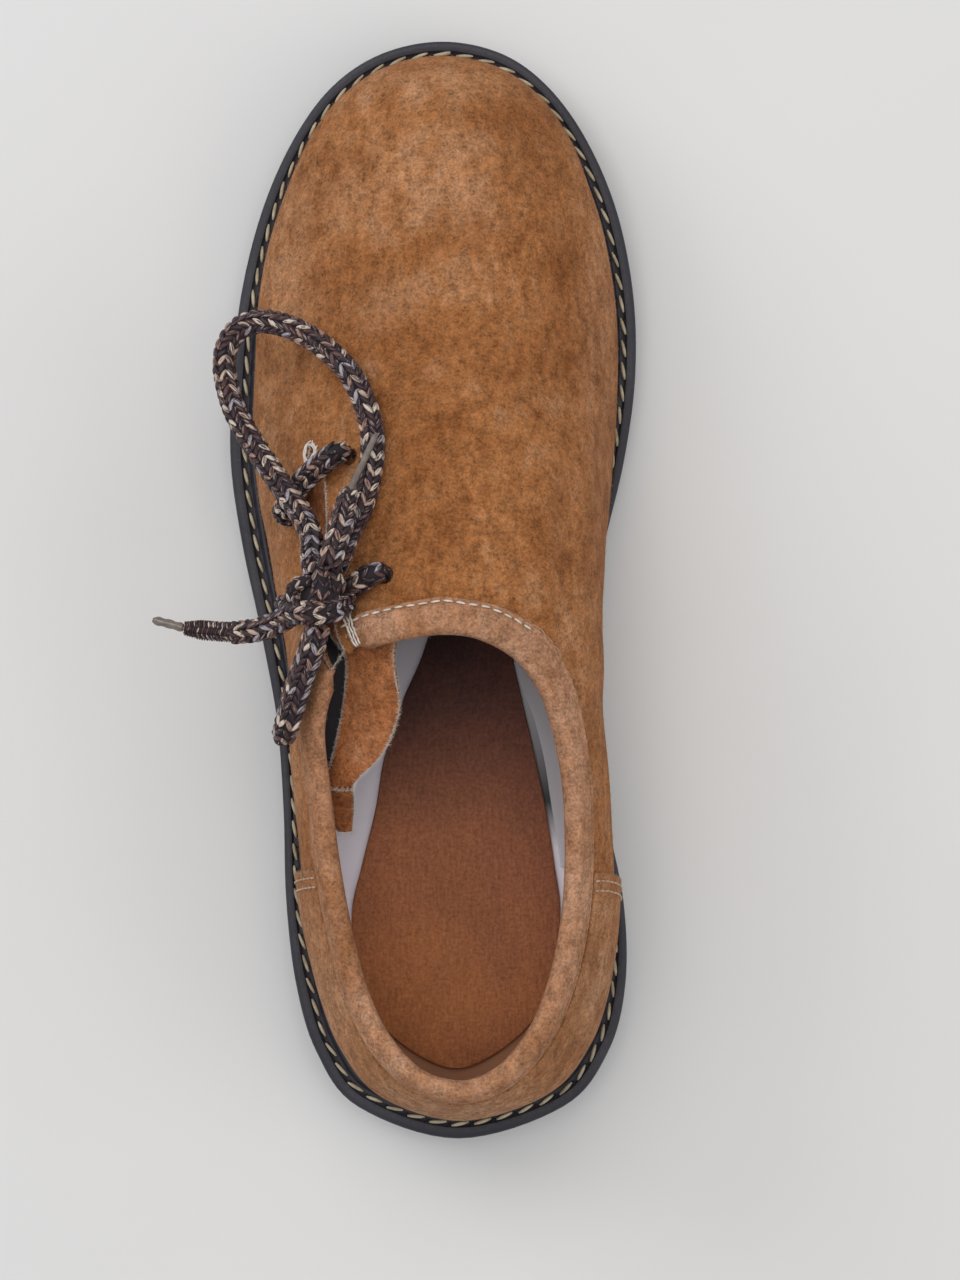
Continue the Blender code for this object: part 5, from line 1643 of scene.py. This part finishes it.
def braid_tree():
    """Yarns of a round braid: rows along a line and columns round it, leaning left and right by turns."""
    tree, start, end = new_tree("round_braid", (
        ("Line", "NodeSocketGeometry"), ("Row Pitch", "NodeSocketFloat"), ("Columns", "NodeSocketInt"),
        ("Lean", "NodeSocketFloat"), ("Yarn", "NodeSocketObject"), ("Seed", "NodeSocketInt"),
        ("Finish", "NodeSocketMaterial"),
    ))
    curve = node(tree, "GeometryNodeMeshToCurve", {"Mesh": start["Line"]}).outputs[0]
    points = node(tree, "GeometryNodeCurveToPoints", {"Curve": curve, "Length": start["Row Pitch"]}, mode="LENGTH")
    index = node(tree, "GeometryNodeInputIndex").outputs[0]
    rows = node(
        tree, "GeometryNodeStoreNamedAttribute", {"Geometry": points.outputs[0], "Name": "row", "Value": index},
        data_type="FLOAT", domain="POINT",
    ).outputs[0]
    copies = node(
        tree, "GeometryNodeDuplicateElements", {"Geometry": rows, "Amount": start["Columns"]}, domain="POINT"
    )
    column = copies.outputs["Duplicate Index"]
    angle = maths(tree, "DIVIDE", maths(tree, "MULTIPLY", column, math.tau), start["Columns"])
    radial = node(
        tree, "ShaderNodeVectorRotate",
        {"Vector": points.outputs["Normal"], "Axis": points.outputs["Tangent"], "Angle": angle},
        rotation_type="AXIS_ANGLE",
    ).outputs[0]
    side = maths(tree, "SUBTRACT", 1.0, maths(tree, "MULTIPLY", maths(tree, "MODULO", column, 2.0), 2.0))
    facing = node(
        tree, "ShaderNodeVectorRotate",
        {"Vector": points.outputs["Tangent"], "Axis": radial, "Angle": maths(tree, "MULTIPLY", side, start["Lean"])},
        rotation_type="AXIS_ANGLE",
    ).outputs[0]
    raised = node(tree, "ShaderNodeVectorMath", {0: radial, "Scale": YARN_TILT}, operation="SCALE").outputs[0]
    facing = added(tree, facing, raised)
    thickness = named(tree, "thickness", "FLOAT")
    out = node(tree, "ShaderNodeVectorMath", {0: radial, "Scale": thickness}, operation="SCALE").outputs[0]
    odds = node(
        tree, "FunctionNodeRandomValue", {2: 0.0, 3: 0.49, "Seed": start["Seed"]}, data_type="FLOAT"
    ).outputs[1]
    pale_row = maths(tree, "MULTIPLY", maths(tree, "MODULO", named(tree, "row", "FLOAT"), 2.0), 0.5)
    strand = maths(tree, "ADD", pale_row, odds)
    marked = node(
        tree, "GeometryNodeStoreNamedAttribute", {"Geometry": copies.outputs[0], "Name": "strand", "Value": strand},
        data_type="FLOAT", domain="POINT",
    ).outputs[0]
    moved = node(tree, "GeometryNodeSetPosition", {"Geometry": marked, "Offset": out}).outputs[0]
    yarn = node(tree, "GeometryNodeObjectInfo", {"Object": start["Yarn"]}).outputs["Geometry"]
    size = maths(tree, "DIVIDE", thickness, LACE_DIAMETER / 2)
    instances = node(tree, "GeometryNodeInstanceOnPoints", {
        "Points": moved, "Instance": yarn, "Rotation": turned(tree, facing, radial), "Scale": size,
    }).outputs[0]
    return end(instances)


def grown(name, source, tree, values):
    """A plain mesh that a tree grows from a source mesh."""
    piece = new_piece(name, source)
    modifier = piece.modifiers.new("grow", "NODES")
    modifier.node_group = tree
    identifiers = {s.name: s.identifier for s in tree.interface.items_tree if s.in_out == "INPUT"}
    for label, value in values.items():
        modifier[identifiers[label]] = value
    return made_plain(piece)


def line_mesh(name, places, facing=None, up=None, thickness=None):
    """A line of points as a mesh of edges, with the attributes that the trees read."""
    data = bpy.data.meshes.new(name)
    data.from_pydata([tuple(map(float, p)) for p in places], [(i, i + 1) for i in range(len(places) - 1)], [])
    for label, values in (("facing", facing), ("up", up)):
        if values is not None:
            field = data.attributes.new(label, "FLOAT_VECTOR", "POINT")
            field.data.foreach_set("vector", np.asarray(values, np.float32).ravel())
    if thickness is not None:
        field = data.attributes.new("thickness", "FLOAT", "POINT")
        field.data.foreach_set("value", np.asarray(thickness, np.float32))
    return data


def tapered_part(name, length, width, height, sides=6, rings=5, arch=0.0, point=0.35, bend=0.0):
    """A short thread or yarn along X: a swept section that narrows to its ends and can arch or bend."""
    places, faces = [], []
    for i in range(rings):
        t = i / (rings - 1)
        narrow = point + (1 - point) * math.sin(math.pi * t) ** 0.6
        x = (t - 0.5) * length
        middle = arch * (1 - (2 * t - 1) ** 2)
        across = bend * (1 - (2 * t - 1) ** 2)
        for k in range(sides):
            turn = math.tau * k / sides
            places.append((
                x,
                across + math.cos(turn) * width / 2 * narrow,
                middle + math.sin(turn) * height / 2 * narrow,
            ))
    for face in grid_faces(rings, sides, closed_columns=True):
        faces.append(face[::-1])
    faces.append(tuple(range(sides))[::-1])
    faces.append(tuple((rings - 1) * sides + k for k in range(sides)))
    data = mesh_of(name, places, faces)
    mesh = bmesh.new()
    mesh.from_mesh(data)
    bmesh.ops.recalc_face_normals(mesh, faces=mesh.faces)
    mesh.to_mesh(data)
    mesh.free()
    field = data.attributes.new("yarn_place", "FLOAT_VECTOR", "POINT")
    field.data.foreach_set("vector", np.array(places, np.float32).ravel())
    data.shade_smooth()
    return new_piece(name, data)


# How far the front end of each yarn stands off the braid
YARN_TILT = 0.16

ALONG_A_LINE = stitch_tree()
ON_A_SURFACE = nap_tree()
ROUND_BRAID = braid_tree()
WELT_STITCH = tapered_part("welt_stitch", 0.0048, 0.00105, 0.0010, arch=0.00025, point=0.5)
WELT_HOLE_SHADE = tapered_part("welt_hole", 0.0024, 0.0010, 0.0005, point=0.5)
BEAD_HIGHLIGHT_MARK = tapered_part("welt_dash", 0.0036, 0.00042, 0.0004, arch=0.0001, point=0.4)
FINE_STITCH = tapered_part("fine_stitch", 0.0024, 0.00062, 0.0005, arch=0.0002, point=0.6)
EDGE_STITCH = tapered_part("edge_stitch", 0.0034, 0.00034, 0.0003, arch=0.0002, point=0.4, bend=0.0002)
HAIR = tapered_part("hair", 0.0013, 0.00010, 0.00008, sides=3, rings=3, arch=0.0002, point=0.25)
LONG_HAIR = tapered_part("long_hair", 0.0024, 0.00010, 0.00008, sides=3, rings=4, arch=0.0005, point=0.3)
BRAID_YARN = tapered_part("braid_yarn", 0.0050, 0.0018, 0.0015, sides=8, rings=6, arch=0.00035, point=0.22)
RIB_YARN = tapered_part("rib_yarn", 0.0026, 0.00075, 0.0009, sides=6, rings=5, arch=0.00020, point=0.40)
TEMPLATES = (
    WELT_STITCH, WELT_HOLE_SHADE, BEAD_HIGHLIGHT_MARK, FINE_STITCH, EDGE_STITCH, HAIR, LONG_HAIR, BRAID_YARN, RIB_YARN,
)


# Stitches

def tangents(places, closed=False):
    places = np.asarray(places)
    if closed:
        return unit(np.roll(places, -1, axis=0) - np.roll(places, 1, axis=0))
    return unit(np.gradient(places, axis=0))


def turned_about(vectors, axes, angle):
    """Vectors turned about the axes, which stand square to them."""
    return vectors * math.cos(angle) + np.cross(axes, vectors) * math.sin(angle)


def row_of(name, places, up, part, pitch, finish, slant=0.0, scatter=0.03, shortest=0.9, seed=1, facing=None):
    """A piece made of parts along a line on a surface."""
    along = tangents(places) if facing is None else facing
    along = turned_about(along, up, slant) if slant else along
    source = line_mesh(name, places, along, up)
    return grown(name, source, ALONG_A_LINE, {
        "Pitch": pitch, "Part": part, "Scatter": scatter, "Shortest": shortest, "Seed": seed, "Finish": finish,
    })


def welt_line(share, lift):
    rows = [i / 12 for i in range(12 * LAST_ROW + 1)]
    ring = level_ring(
        rows, lambda side, row: share * foot_margin(side, row), lambda along: welt_top(along) + lift
    )
    return np.array(ring + ring[:1])


# Where the grey dashes that paint the inner bead's highlight run, as a share of the margin
BEAD_HIGHLIGHT_INSET = 0.74


# The painted shade of the stitch holes lies on a line this share of the rim outside the stitches, and this far over
# the groove's floor
HOLE_SHIFT = 0.09
HOLE_RISE = 0.0004
HOLE_TURN = math.radians(68)


def make_welt_stitches():
    up = np.tile([0.0, 0.0, 1.0], (len(welt_line(STITCH_INSET, 0.0)), 1))
    line = welt_line(STITCH_INSET, -STITCH_GROOVE + 0.00055)
    seat(row_of("welt_stitches", line, up, WELT_STITCH, WELT_PITCH, WELT_THREAD, slant=WELT_SLANT, scatter=0.07))
    # Dark marks that paint the shade in the stitch holes
    line = welt_line(STITCH_INSET - HOLE_SHIFT, -STITCH_GROOVE + HOLE_RISE)
    across = turned_about(tangents(line), up, HOLE_TURN)
    seat(row_of("welt_stitch_holes", line, up, WELT_HOLE_SHADE, WELT_PITCH, HOLE_SHADE, facing=across))
    # Grey dashes along the inner bead: a painted highlight
    line = welt_line(BEAD_HIGHLIGHT_INSET, 0.0001)
    seat(row_of(
        "welt_inner_dashes", line, up, BEAD_HIGHLIGHT_MARK, WELT_PITCH, BEAD_HIGHLIGHT, scatter=0.12, shortest=0.6, seed=9
    ))


COLLAR_STITCH_DEPTH = 0.80
WHITE_STITCHES_TO = 0.0206
EDGE_THREAD_TO = 6.2


def collar_line(start, end, depth, lift):
    rows = [on_collar(t, depth * BINDING_DEPTH, lift) for t in collar_marks(start, end)]
    return np.array([place for place, _ in rows]), np.array([normal for _, normal in rows])


def make_collar_stitches():
    """White stitches round the throat, then a pale thread along the binding's edge on the medial side."""
    turn = next(t / 100 for t in range(800) if topline(t / 100)[0] > WHITE_STITCHES_TO)
    top = BINDING_GAP + BINDING_WALL / 2
    places, ups = collar_line(BINDING_FROM + 0.05, turn, COLLAR_STITCH_DEPTH, top + 0.0003)
    seat(row_of("collar_stitches", places, ups, FINE_STITCH, 0.0030, WHITE_THREAD, scatter=0.08, seed=3))
    places, ups = collar_line(turn, EDGE_THREAD_TO, 1.0, BINDING_GAP + 0.0003)
    seat(row_of("collar_edge_thread", places, ups, EDGE_STITCH, 0.0026, EDGE_FIBRE, scatter=0.25, seed=5))


SEAM_CELLS = 39
SEAM_MARGIN = 0.001


def seam_line(side, offset, lift):
    """A line down the quarter's front edge, at an offset behind the seam, from the binding to the hem."""
    station = SKIN.station(side, SEAM_RIB[side])
    sign = 1 if side == "medial" else -1
    ahead = SKIN.at(station + sign * 1.0, 0.5)[0] - SKIN.at(station, 0.5)[0]
    station += sign * offset / np.linalg.norm(ahead)
    length = SKIN.length[int(station)]
    places, ups = [], []
    for j in range(SEAM_CELLS + 1):
        depth = BINDING_DEPTH + QUARTER_DROP + SEAM_MARGIN + (
            length - BINDING_DEPTH - QUARTER_DROP - QUARTER_HEM - 2 * SEAM_MARGIN
        ) * j / SEAM_CELLS
        place, normal = SKIN.below_top(station, depth, GAP + QUARTER_WALL + lift)
        places.append(place)
        ups.append(normal)
    return np.array(places), np.array(ups)


def make_seam_stitches():
    for side in SIDES:
        for k, offset in enumerate((0.0020, 0.0044)):
            places, ups = seam_line(side, offset, 0.00005)
            name = f"seam_stitches_{side}_{k + 1}"
            seat(row_of(name, places, ups, FINE_STITCH, 0.0030, SEAM_THREAD, scatter=0.06, seed=4 + k))
        places, ups = seam_line(side, 0.0002, -0.0004)
        out = unit(np.cross(tangents(places), ups)) * (1 if side == "medial" else -1)
        fringe(f"seam_fringe_{side}", places, ups, out, 0.00022, EDGE_FIBRE, seed=31)


def fringe(name, places, ups, out, pitch, finish, scatter=0.9, seed=1):
    """Loose fibres that stand out from an edge."""
    seat(row_of(
        name, places, ups, LONG_HAIR, pitch, finish, facing=out, scatter=scatter, shortest=0.35, seed=seed,
    ))


# The looped end of the stitching in front of the slit: its middle in plan and its half sizes
BACKTACK = (-0.0307, 0.0342)
BACKTACK_HALF = (0.0017, 0.0033)
# How far the loose threads at the lateral end of the binding reach, in rows of the topline
TANGLE_ROWS = 0.75


def on_upper(points, lift):
    rows = [found for found in (SKIN.over(x, y) for x, y in points) if found]
    return np.array([place + normal * lift for place, normal in rows]), np.array([normal for _, normal in rows])


def make_loose_fibres(tongue):
    """The frayed edges of the slit, the tongue and the throat, and the looped stitches before the slit."""
    places, ups = on_upper(SLIT_POINTS[::2], 0.0)
    inward = SLIT_POINTS[::2].mean(axis=0) - places[:, :2]
    inward = unit(np.column_stack([inward, np.zeros(len(inward))]))
    fringe("slit_fringe", places, ups, inward, 0.00011, PALE_FIBRE, scatter=1.2, seed=21)
    for k, side in enumerate((0, -1)):
        edge = tongue[:, side]
        across = unit(tongue[:, side] - tongue[:, len(tongue[0]) // 2])
        up = unit(np.cross(tangents(edge), across) * (1 if side else -1))
        fringe(f"tongue_fringe_{k + 1}", edge, up, across, 0.00014, PALE_FIBRE, scatter=1.1, seed=23 + k)
    for k, row in enumerate((TONGUE_FOLD, len(tongue) - 1)):
        tip = tongue[row]
        on = unit(tip - tongue[row - 3])
        up = unit(np.cross(on, tangents(tip)))
        fringe(f"tongue_tip_fringe_{k + 1}", tip + up * 0.0004, up, on, 0.00012, PALE_FIBRE, scatter=1.2, seed=26 + k)
    turns = [math.tau * k / 24 for k in range(49)]
    loop = [
        (
            BACKTACK[0] + BACKTACK_HALF[0] * (1 - a / 30) * math.cos(a),
            BACKTACK[1] + BACKTACK_HALF[1] * (1 - a / 30) * math.sin(a),
        )
        for a in turns
    ]
    places, ups = on_upper(loop, 0.0004)
    seat(row_of("slit_backtack", places, ups, FINE_STITCH, 0.0012, WHITE_THREAD, scatter=0.5, seed=28))
    places, ups = collar_line(BINDING_FROM, BINDING_FROM + TANGLE_ROWS, 0.45, BINDING_GAP + BINDING_WALL)
    fringe("throat_threads", places, ups, tangents(places), 0.00022, PALE_FIBRE, scatter=1.6, seed=29)
    for k in range(3):
        t = BINDING_FROM + 0.10 + 0.07 * k
        rows = [
            on_collar(t, depth * BINDING_DEPTH, BINDING_GAP + BINDING_WALL) for depth in np.linspace(0.1, 0.95, 9)
        ]
        places, ups = np.array([place for place, _ in rows]), np.array([normal for _, normal in rows])
        seat(row_of(
            f"throat_bartack_{k + 1}", places, ups, FINE_STITCH, 0.0014, WHITE_THREAD, scatter=0.3, seed=40 + k
        ))


def make_nap(name, source, density, brush, finish, seed, slot):
    seat(grown(name, source, ON_A_SURFACE, {
        "Density": density, "Fibre": HAIR, "Brush": brush, "Ruffle": 1.2, "Seed": seed, "Finish": finish,
    }), slot)


# The lace

BAR_FRONT = (
    (-0.0335, 0.0180, 0.0470),
    (-0.0362, 0.0182, 0.0495),
    (-0.0378, 0.0192, 0.0530),
    (-0.0363, 0.0218, 0.0572),
    (-0.0331, 0.0264, 0.0622),
    (-0.0282, 0.0310, 0.0660),
    (-0.0233, 0.0344, 0.0685),
    (-0.0212, 0.0342, 0.0662),
    (-0.0198, 0.0336, 0.0625),
)
BAR_REAR = (
    (-0.0285, -0.0040, 0.0478),
    (-0.0332, -0.0042, 0.0512),
    (-0.0370, -0.0043, 0.0551),
    (-0.0356, -0.0042, 0.0632),
    (-0.0310, -0.0040, 0.0708),
    (-0.0247, -0.0032, 0.0785),
    (-0.0188, 0.0004, 0.0821),
    (-0.0150, 0.0030, 0.0838),
    (-0.0126, 0.0036, 0.0818),
    (-0.0115, 0.0033, 0.0775),
)
LOOP_FRONT = (
    (-0.0231, 0.0055, 0.0848),
    (-0.0208, 0.0124, 0.0812),
    (-0.0172, 0.0205, 0.0775),
    (-0.0154, 0.0275, 0.0748),
    (-0.0146, 0.0345, 0.0727),
    (-0.0152, 0.0420, 0.0702),
    (-0.0190, 0.0520, 0.0670),
    (-0.0250, 0.0595, 0.0630),
    (-0.0335, 0.0657, 0.0582),
    (-0.0427, 0.0685, 0.0545),
    (-0.0498, 0.0665, 0.0520),
    (-0.0533, 0.0592, 0.0510),
    (-0.0513, 0.0480, 0.0530),
    (-0.0470, 0.0395, 0.0560),
    (-0.0420, 0.0320, 0.0624),
    (-0.0368, 0.0245, 0.0682),
    (-0.0322, 0.0180, 0.0728),
    (-0.0298, 0.0126, 0.0770),
    (-0.0295, 0.0071, 0.0816),
    (-0.0288, 0.0038, 0.0838),
)
LOOP_REAR = (
    (-0.0284, -0.0110, 0.0816),
    (-0.0303, -0.0165, 0.0800),
    (-0.0325, -0.0222, 0.0780),
    (-0.0346, -0.0285, 0.0762),
    (-0.0360, -0.0336, 0.0752),
    (-0.0367, -0.0372, 0.0782),
    (-0.0354, -0.0339, 0.0820),
    (-0.0337, -0.0283, 0.0834),
    (-0.0314, -0.0216, 0.0853),
    (-0.0292, -0.0158, 0.0874),
    (-0.0280, -0.0110, 0.0888),
)
END_UPPER = (
    (-0.0247, 0.0058, 0.0914),
    (-0.0236, 0.0100, 0.0902),
    (-0.0221, 0.0155, 0.0876),
    (-0.0204, 0.0232, 0.0836),
)
AGLET_SIZES = {"aglet_outer": 0.0023, "aglet_upper": 0.0016}
AGLET_UPPER = ((-0.0200, 0.0241, 0.0832), (-0.0167, 0.0314, 0.0800), (-0.0134, 0.0387, 0.0775))
# The outer tail crosses the knot as a band before it leaves it
END_OUTER = (
    (-0.0205, -0.0040, 0.0835),
    (-0.0222, -0.0052, 0.0865),
    (-0.0250, -0.0062, 0.0895),
    (-0.0285, -0.0066, 0.0900),
    (-0.0318, -0.0065, 0.0868),
    (-0.0340, -0.0064, 0.0828),
    (-0.0381, -0.0088, 0.0770),
    (-0.0435, -0.0107, 0.0735),
    (-0.0490, -0.0114, 0.0706),
    (-0.0556, -0.0110, 0.0682),
    (-0.0622, -0.0104, 0.0668),
)
AGLET_OUTER = ((-0.0628, -0.0102, 0.0667), (-0.0668, -0.0091, 0.0661), (-0.0706, -0.0082, 0.0658))
KNOT_PLACE = np.array([-0.0280, -0.0021, 0.0860])

ROW_PITCH = 0.00205
YARN_LEAN = math.radians(31)
RIB_PITCH = 0.00065
RIB_LEAN = math.radians(73)
YARN_SEAT = 0.00235
CORE_RADIUS = 0.00245


def frames_along(places):
    """Tangents and two steady directions square to them along a line."""
    along = tangents(places)
    side = unit(np.cross(along[0], [0.3, 0.2, 1.0]))
    sides = []
    for direction in along:
        side = unit(side - direction * (side @ direction))
        sides.append(side)
    sides = np.array(sides)
    return along, sides, np.cross(along, sides)


def swept(places, radii, sides=12):
    """A tube along a line as (places, faces), with its ends closed."""
    _, left, up = frames_along(places)
    turns = np.arange(sides) / sides * math.tau
    rings = [
        p + r * (np.outer(np.cos(turns), a) + np.outer(np.sin(turns), b))
        for p, r, a, b in zip(places, radii, left, up)
    ]
    count = len(rings)
    faces = grid_faces(count, sides, closed_columns=True)
    faces.append(tuple(range(sides)))
    faces.append(tuple((count - 1) * sides + k for k in range(sides))[::-1])
    return np.concatenate(rings), faces


def joined(name, *meshes):
    """One mesh out of several, with their materials."""
    whole = bmesh.new()
    finishes = []
    for data in meshes:
        first = len(whole.faces)
        whole.from_mesh(data)
        whole.faces.ensure_lookup_table()
        for face in whole.faces[first:]:
            face.material_index += len(finishes)
        finishes += list(data.materials)
    made = from_bmesh(name, whole)
    for finish in finishes:
        made.materials.append(finish)
    return made


def braided(name, route, taper=(1.0, 1.0), taper_length=0.008, size=1.0, ribbed=False, seed=1):
    """A braided cord along a route: a dark core with yarns round it. taper is the size at each end."""
    line = smooth_route(route, 0.0012)
    runs = np.concatenate([[0.0], np.cumsum(np.linalg.norm(np.diff(line, axis=0), axis=1))])
    sizes = size * np.interp(
        runs, [0, taper_length, runs[-1] - taper_length, runs[-1]], [taper[0], 1.0, 1.0, taper[1]]
    )
    places, faces = swept(line, CORE_RADIUS * sizes)
    core = mesh_of(name + "_core", places, faces)
    mesh = bmesh.new()
    mesh.from_mesh(core)
    bmesh.ops.recalc_face_normals(mesh, faces=mesh.faces)
    mesh.to_mesh(core)
    mesh.free()
    core.materials.append(LACE_CORE)
    source = line_mesh(name + "_line", line, thickness=YARN_SEAT * sizes)
    yarns = grown(name + "_yarns", source, ROUND_BRAID, {
        "Row Pitch": RIB_PITCH if ribbed else ROW_PITCH, "Columns": 8, "Lean": RIB_LEAN if ribbed else YARN_LEAN,
        "Yarn": RIB_YARN if ribbed else BRAID_YARN, "Seed": seed, "Finish": YARN,
    })
    data = joined(name, core, yarns.data)
    bpy.data.objects.remove(yarns, do_unlink=True)
    data.shade_smooth()
    return new_piece(name, data), line


def make_aglet(name, route, node_name):
    line = smooth_route(route, 0.0008)
    count = len(line)
    radii = np.full(count, AGLET_SIZES[node_name] / 2)
    radii[0] *= 0.85
    radii[-1] *= 0.55
    radii[-2] *= 0.88
    radii *= 1 + 0.10 * np.sin(np.arange(count) * 1.7)
    places, faces = swept(line, radii)
    mesh = bmesh.new()
    mesh.from_mesh(mesh_of(name, places, faces))
    bmesh.ops.recalc_face_normals(mesh, faces=mesh.faces)
    piece = new_piece(name, from_bmesh(name, mesh), AGLET_FILM)
    shaded(piece.data, 50)
    return seat(piece, "aglet_film", node_name)


# The strands of the knot: size, then the route
KNOT_WRAPS = (
    (0.62, (
        (-0.0262, 0.0015, 0.0845), (-0.0298, 0.0014, 0.0865), (-0.0330, 0.0006, 0.0862),
        (-0.0347, -0.0024, 0.0842), (-0.0334, -0.0050, 0.0845), (-0.0300, -0.0052, 0.0860),
    )),
    (0.80, (
        (-0.0272, 0.0045, 0.0880), (-0.0268, -0.0005, 0.0898), (-0.0280, -0.0040, 0.0878), (-0.0284, -0.0085, 0.0850),
    )),
    (0.78, (
        (-0.0240, 0.0040, 0.0868), (-0.0238, -0.0005, 0.0880), (-0.0255, -0.0045, 0.0866), (-0.0290, -0.0090, 0.0838),
    )),
)


# The dark core that the strands of the knot lie on: the way it faces and its size
KNOT_FACING = (-0.68, 0.10, 0.72)
KNOT_HEART = (0.0108, 0.0112, 0.0050)


def knot_heart():
    heart = bpy.data.meshes.new("knot_heart")
    mesh = bmesh.new()
    bmesh.ops.create_uvsphere(mesh, u_segments=20, v_segments=12, radius=0.5)
    turn = Vector(KNOT_FACING).to_track_quat("Z", "Y")
    for vertex in mesh.verts:
        sized = Vector([c * size for c, size in zip(vertex.co, KNOT_HEART)])
        vertex.co = turn @ sized + Vector(KNOT_PLACE)
    mesh.to_mesh(heart)
    mesh.free()
    heart.materials.append(LACE_CORE)
    return heart


def make_lace():
    bars = (
        ("lace_bar_over_front", BAR_FRONT, "lace_bar_front", (0.55, 0.22)),
        ("lace_bar_over_rear", BAR_REAR, "lace_bar_rear", (0.72, 0.62)),
    )
    for k, (name, route, node_name, taper) in enumerate(bars):
        piece, _ = braided(name, route, taper=taper, seed=2 + k)
        seat(piece, "lace_cord", node_name)

    aglet_outer = make_aglet("aglet_sleeve_outer", AGLET_OUTER, "aglet_outer")
    aglet_upper = make_aglet("aglet_sleeve_upper", AGLET_UPPER, "aglet_upper")

    wraps = []
    for k, (size, wrap) in enumerate(KNOT_WRAPS):
        piece, _ = braided(f"wrap_{k}", wrap, size=size, seed=5 + k)
        wraps.append(piece)
    knot = new_piece("lace_bow_knot", joined("lace_bow_knot", knot_heart(), *(w.data for w in wraps)))
    knot.data.shade_smooth()
    for wrap in wraps:
        bpy.data.objects.remove(wrap, do_unlink=True)
    seat(knot, "lace_cord", "lace_knot")

    end_upper, _ = braided("lace_tail_upper", END_UPPER, taper=(1.0, 0.75), taper_length=0.005)
    seat(end_upper, "lace_cord", "lace_end_upper")

    split = len(END_OUTER) - 3
    front, line_front = braided("lace_tail_outer", END_OUTER[: split + 1], taper=(0.80, 0.95), seed=8)
    ribbed, line_ribbed = braided(
        "tail_ribs", END_OUTER[split:], taper=(1.0, 0.72), taper_length=0.004, size=0.93, ribbed=True
    )
    tail_piece = new_piece("lace_tail_outer_whole", joined("lace_tail_outer_whole", front.data, ribbed.data))
    tail_piece.data.shade_smooth()
    for used in (front, ribbed):
        bpy.data.objects.remove(used, do_unlink=True)
    seat(tail_piece, "lace_cord", "lace_end_outer")

    loop_front, line = braided("lace_loop_toward_toe", LOOP_FRONT, seed=9)
    seat(loop_front, "lace_cord", "lace_loop_front")
    loop_rear, line = braided("lace_loop_toward_heel", LOOP_REAR, seed=10)
    seat(loop_rear, "lace_cord", "lace_loop_rear")


# Camera, light and floor

CAMERA_PLACE = (0.0126, -0.0133, 1.2)
CAMERA_LENS = 125.5
FLOOR_COLOUR = (0.685, 0.672, 0.660)
SKY_COLOUR = (0.90, 0.94, 1.0, 1.0)
SKY_STRENGTH = 0.55
LIGHTS = (
    # name, place, size, power, colour
    ("ceiling", (-0.15, 0.35, 1.9), 1.4, 17.0, (1.0, 0.97, 0.93)),
    ("window", (-1.3, 0.9, 1.1), 1.0, 9.0, (0.92, 0.96, 1.0)),
    ("fill", (1.4, -0.4, 1.2), 1.2, 5.0, (1.0, 0.96, 0.90)),
)


def make_stage():
    camera = bpy.data.cameras.new("camera")
    camera.lens = CAMERA_LENS
    camera.sensor_width = 36.0
    viewer = bpy.data.objects.new("camera", camera)
    viewer.location = CAMERA_PLACE
    bpy.context.scene.collection.objects.link(viewer)
    bpy.context.scene.camera = viewer

    mesh = bmesh.new()
    bmesh.ops.create_grid(mesh, x_segments=2, y_segments=2, size=4.0)
    sheet = from_bmesh("floor", mesh)
    floor = new_piece("floor", sheet, plain("floor_paint", FLOOR_COLOUR, 0.9, grain=12, depth=0.0, variation=0.03))

    world = bpy.data.worlds.new("studio")
    world.use_nodes = True
    world.node_tree.nodes["Background"].inputs["Color"].default_value = SKY_COLOUR
    world.node_tree.nodes["Background"].inputs["Strength"].default_value = SKY_STRENGTH
    bpy.context.scene.world = world
    for name, place, size, power, colour in LIGHTS:
        light = bpy.data.lights.new(name, "AREA")
        light.size = size
        light.energy = power
        light.color = colour
        lamp = bpy.data.objects.new(name, light)
        lamp.location = place
        lamp.rotation_euler = (-Vector(place)).to_track_quat("-Z", "Y").to_euler()
        bpy.context.scene.collection.objects.link(lamp)
    bpy.context.scene.view_settings.view_transform = "Standard"


def main():
    make_stage()
    make_lace()
    make_outsole()
    make_heel()
    make_welt()
    make_insole()
    make_sock()
    upper_source = make_upper()
    quarter_source = make_quarter()
    binding_source = make_binding()
    make_glossy_lining()
    tongue, tongue_source = make_tongue()
    make_welt_stitches()
    make_collar_stitches()
    make_seam_stitches()
    make_loose_fibres(tongue)
    make_nap("upper_nap", upper_source, 190000.0, (0.0, -0.7, 0.0), FIBRE, 7, "upper_suede")
    make_nap("quarter_nap", quarter_source, 190000.0, (0.0, -0.7, 0.0), FIBRE, 11, "quarter_suede")
    make_nap("binding_nap", binding_source, 260000.0, (0.0, 0.0, -0.5), EDGE_FIBRE, 12, "binding_suede")
    make_nap("tongue_nap", tongue_source, 220000.0, (0.0, -0.5, 0.0), FIBRE, 13, "tongue_suede")
    for template in TEMPLATES:
        bpy.data.objects.remove(template, do_unlink=True)


main()
